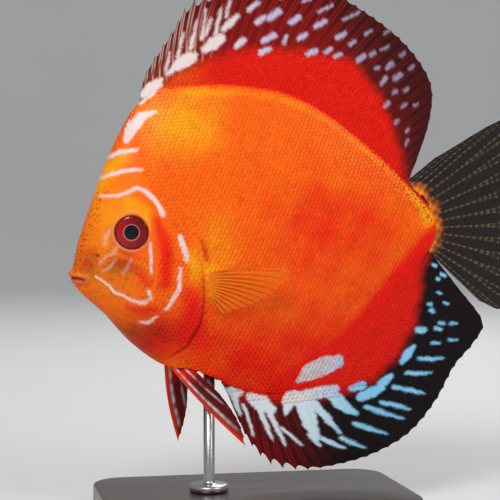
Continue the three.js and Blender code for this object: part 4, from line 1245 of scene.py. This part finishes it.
def turned(profile, side, steps=72):
    """A profile of (radius, height) turned round the eye's axis."""
    out, forward, upward = side_axes(side)
    middle = np.array([eye_centre[0], side * float(body_half(*eye_centre)), eye_centre[1]])
    angle = np.arange(steps) / steps * 2 * math.pi
    radius, height = np.array(profile).T
    ring = np.cos(angle)[:, None] * forward + np.sin(angle)[:, None] * upward
    points = middle + radius[:, None, None] * ring[None] + height[:, None, None] * out
    faces = grid_faces(len(profile), steps, True)
    placed = in_room(*points.reshape(-1, 3).T)
    return placed, facing_out(placed, faces), radius, angle


def eye_materials():
    iris, tree, shader = new_material("iris", 0.5, specular=0.1)
    radius = mask_of(tree, "radius")
    fibres = noise(tree, 1400, 3)
    # The iris is painted bright red at its front and dark red behind: painted light and shade, as lit from
    # ahead of the fish.
    front = ramp(tree, mask_of(tree, "forward"), -0.7, 0.8)
    red = mix_colour(tree, front, srgb(132, 6, 10), srgb(214, 24, 30))
    red = mix_colour(tree, scaled(tree, ramp(tree, fibres, 0.35, 0.7), 0.6), red, srgb(150, 10, 10))
    rim = ramp(tree, radius, 4.9, 5.6)
    red = mix_colour(tree, rim, red, srgb(110, 8, 6))
    ring = arithmetic(tree, "SUBTRACT", 1.0, ramp(tree, radius, pupil_radius + 0.12, pupil_radius + 0.5))
    red = mix_colour(tree, ring, red, srgb(232, 150, 140))
    outside = ramp(tree, radius, pupil_radius - 0.08, pupil_radius + 0.08)
    pupil = arithmetic(tree, "SUBTRACT", 1.0, outside)
    tree.links.new(mix_colour(tree, pupil, red, (0.002, 0.002, 0.003, 1)), shader.inputs["Base Color"])
    raise_bumps(tree, shader, fibres, 0.0001)
    clear, tree, shader = new_material("cornea", 0.03)
    shader.inputs["Transmission Weight"].default_value = 1
    shader.inputs["IOR"].default_value = 1.3
    tint = mix_colour(tree, ramp(tree, noise(tree, 200, 2), 0.3, 0.7), (1, 0.97, 0.96, 1), (1, 1, 1, 1))
    tree.links.new(tint, shader.inputs["Base Color"])
    return iris, clear


iris_material, cornea_material = eye_materials()
front = [
    (r, eye_stand_out - iris_sunk - iris_dish * (r / eye_radius) ** 2 - 0.25 * smoothstep(3.2, 2.3, r))
    for r in np.linspace(0.01, eye_radius, iris_rings)
]
back = [
    (eye_radius * math.cos(a), eye_stand_out - ball_sunk - ball_depth * math.sin(a))
    for a in np.linspace(0.1, 1.56, 14)
]
dome = [
    (eye_radius * math.sin(a), eye_stand_out - cornea_sunk + cornea_rise * math.cos(a))
    for a in np.linspace(0.004, math.pi / 2, 26)
]
dome += [(r, eye_stand_out - cornea_underside) for r in np.linspace(eye_radius * 0.95, 0.01, 12)]
for side, name in ((-1, "left"), (1, "right")):
    points, faces, radius, angle = turned(front + back, side)
    masks = {
        "radius": np.repeat(np.r_[radius[:iris_rings], radius[iris_rings:] * 2], len(angle)),
        # The forward mask places the iris's painted light and shade.
        "forward": np.outer(radius / eye_radius, np.cos(angle)),
    }
    eyeball = make_piece("eyeball_" + name, points, faces, masks)
    eyeball.data.materials.append(iris_material)
    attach(eyeball, "root")
    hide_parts("eye_" + name)
    points, faces, _, _ = turned(dome, side)
    cornea = make_piece("cornea_" + name, points, faces, {})
    cornea.data.materials.append(cornea_material)
    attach(cornea, "root")

# The stand.
# A slab of dark stained wood with rounded corners, and a turned steel rod that stands in it and
# holds the fish by the belly.
base_size = (0.110, 0.070, 0.008)
base_corner = 0.012
base_bevel = 0.0012
rod_radius = 0.002
rod_foot_radius = 0.007
rod_foot_height = 0.0025
rod_edge = 0.0003


def rounded_outline(length, width, corner, steps=14):
    points = []
    for number, (x, y) in enumerate(((1, 1), (-1, 1), (-1, -1), (1, -1))):
        for i in range(steps + 1):
            angle = (number + i / steps) * math.pi / 2
            points.append((x * (length / 2 - corner) + corner * math.cos(angle),
                           y * (width / 2 - corner) + corner * math.sin(angle)))
    return np.array(points)


def slab():
    bevel = []
    for angle in np.linspace(0, math.pi / 2, 7):
        bevel.append((1, base_bevel * (1 - math.sin(angle)), base_bevel * (1 - math.cos(angle))))
    middle = [(0.001, base_bevel, 0.0), (0.5, base_bevel, 0.0)]
    lower = middle + bevel
    upper = [(share, inset, base_size[2] - rise) for share, inset, rise in lower[::-1]]
    loops = []
    for share, inset, z in lower + upper:
        outline = rounded_outline(base_size[0] - 2 * inset, base_size[1] - 2 * inset, base_corner - inset)
        loops.append(np.c_[outline * share, np.full(len(outline), z)])
    points = np.array(loops)
    return points.reshape(-1, 3), grid_faces(len(loops), points.shape[1], True)


def wood_material():
    material, tree, shader = new_material("stained_wood", 0.35, coat=0.3)
    grain = noise(tree, 3, 6, stretched(tree, (9, 120, 60)))
    colour = mix_colour(tree, ramp(tree, grain, 0.35, 0.7), srgb(38, 26, 20), srgb(72, 48, 34))
    tree.links.new(colour, shader.inputs["Base Color"])
    tree.links.new(arithmetic(tree, "MULTIPLY_ADD", grain, 0.25, 0.22), shader.inputs["Roughness"])
    raise_bumps(tree, shader, grain, 0.00008)
    return material


base_points, base_faces = slab()
base = make_piece("stand_slab", base_points, base_faces, {})
base.data.materials.append(wood_material())
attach(base, "root")
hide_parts("stand_base")


def steel_material():
    material, tree, shader = new_material("brushed_steel", 0.28)
    shader.inputs["Metallic"].default_value = 1
    rings = noise(tree, 1, 3, stretched(tree, (60, 60, 2500)))
    colour = mix_colour(tree, rings, srgb(150, 151, 153), srgb(196, 197, 198))
    tree.links.new(colour, shader.inputs["Base Color"])
    tree.links.new(arithmetic(tree, "MULTIPLY_ADD", rings, 0.2, 0.2), shader.inputs["Roughness"])
    raise_bumps(tree, shader, rings, 0.00003)
    return material


def rod():
    low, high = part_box("stand_rod")
    x, z, top = (low[0] + high[0]) / 2, low[2], high[2]
    axis = 0.00001
    profile = [
        (axis, 0), (rod_foot_radius - rod_edge, 0), (rod_foot_radius, rod_edge),
        (rod_foot_radius, rod_foot_height - 0.0008),
        (rod_foot_radius - rod_edge, rod_foot_height - rod_edge),
        (rod_foot_radius - 3 * rod_edge, rod_foot_height),
        (rod_radius + 3 * rod_edge, rod_foot_height),
        (rod_radius + 0.0002, rod_foot_height + 0.0004), (rod_radius, rod_foot_height + 0.0012),
        (rod_radius, top - z - 0.0002), (axis, top - z),
    ]
    radius, height = np.array(profile).T
    angle = np.arange(64) / 64 * 2 * math.pi
    around_x, around_y = np.outer(radius, np.cos(angle)), np.outer(radius, np.sin(angle))
    points = np.stack([x + around_x, around_y, z + height[:, None] + 0 * angle], -1)
    return points.reshape(-1, 3), grid_faces(len(profile), len(angle), True)


rod_points, rod_faces = rod()
turned_rod = make_piece("stand_pin", rod_points, rod_faces, {})
turned_rod.data.materials.append(steel_material())
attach(turned_rod, "root")
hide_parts("stand_rod")

# The room.
# A plain pale floor that curves up all round into a backdrop, under soft studio lamps.
floor_radius = 1.3
sweep_radius = 0.9
wall_height = 1.5


def floor_sweep():
    bend = np.linspace(0, math.pi / 2, 16)
    line = [(0.001, 0.0), (0.3, 0.0), (floor_radius, 0.0)]
    line += [(floor_radius + sweep_radius * math.sin(a), sweep_radius * (1 - math.cos(a)))
             for a in bend[1:]]
    line += [(floor_radius + sweep_radius, wall_height)]
    radius, height = np.array(line).T
    angle = np.arange(96) / 96 * 2 * math.pi
    x, y = np.outer(radius, np.cos(angle)), np.outer(radius, np.sin(angle))
    points = np.stack([x, y, height[:, None] + 0 * angle], -1)
    return points.reshape(-1, 3), grid_faces(len(line), len(angle), True)


floor_points, floor_faces = floor_sweep()
floor = make_piece("floor", floor_points, floor_faces, {})
floor_material, floor_tree, floor_shader = new_material("pale_floor", 0.8)
floor_tint = mix_colour(floor_tree, noise(floor_tree, 4, 2), srgb(202, 202, 200), srgb(208, 208, 207))
floor_tree.links.new(floor_tint, floor_shader.inputs["Base Color"])
floor.data.materials.append(floor_material)


def lamp(name, place, aim, size, power):
    data = bpy.data.lights.new(name, "AREA")
    data.shape = "DISK"
    data.size = size
    data.energy = power
    light = bpy.data.objects.new(name, data)
    light.location = place
    light.rotation_euler = (Vector(aim) - Vector(place)).to_track_quat("-Z", "Y").to_euler()
    bpy.context.collection.objects.link(light)


fish_middle = (0, 0, 0.1)
lamp("key_lamp", (-0.675, -1.125, 1.225), fish_middle, size=0.75, power=17)
lamp("fill_lamp", (0.95, -0.95, 0.95), fish_middle, size=0.8, power=6.5)
lamp("back_lamp", (0.4, 0.6, 0.8), fish_middle, size=0.5, power=5)
world = bpy.data.worlds.new("soft_room")
world.use_nodes = True
world.node_tree.nodes["Background"].inputs["Color"].default_value = (0.9, 0.93, 1.0, 1)
world.node_tree.nodes["Background"].inputs["Strength"].default_value = 0.42
bpy.context.scene.world = world
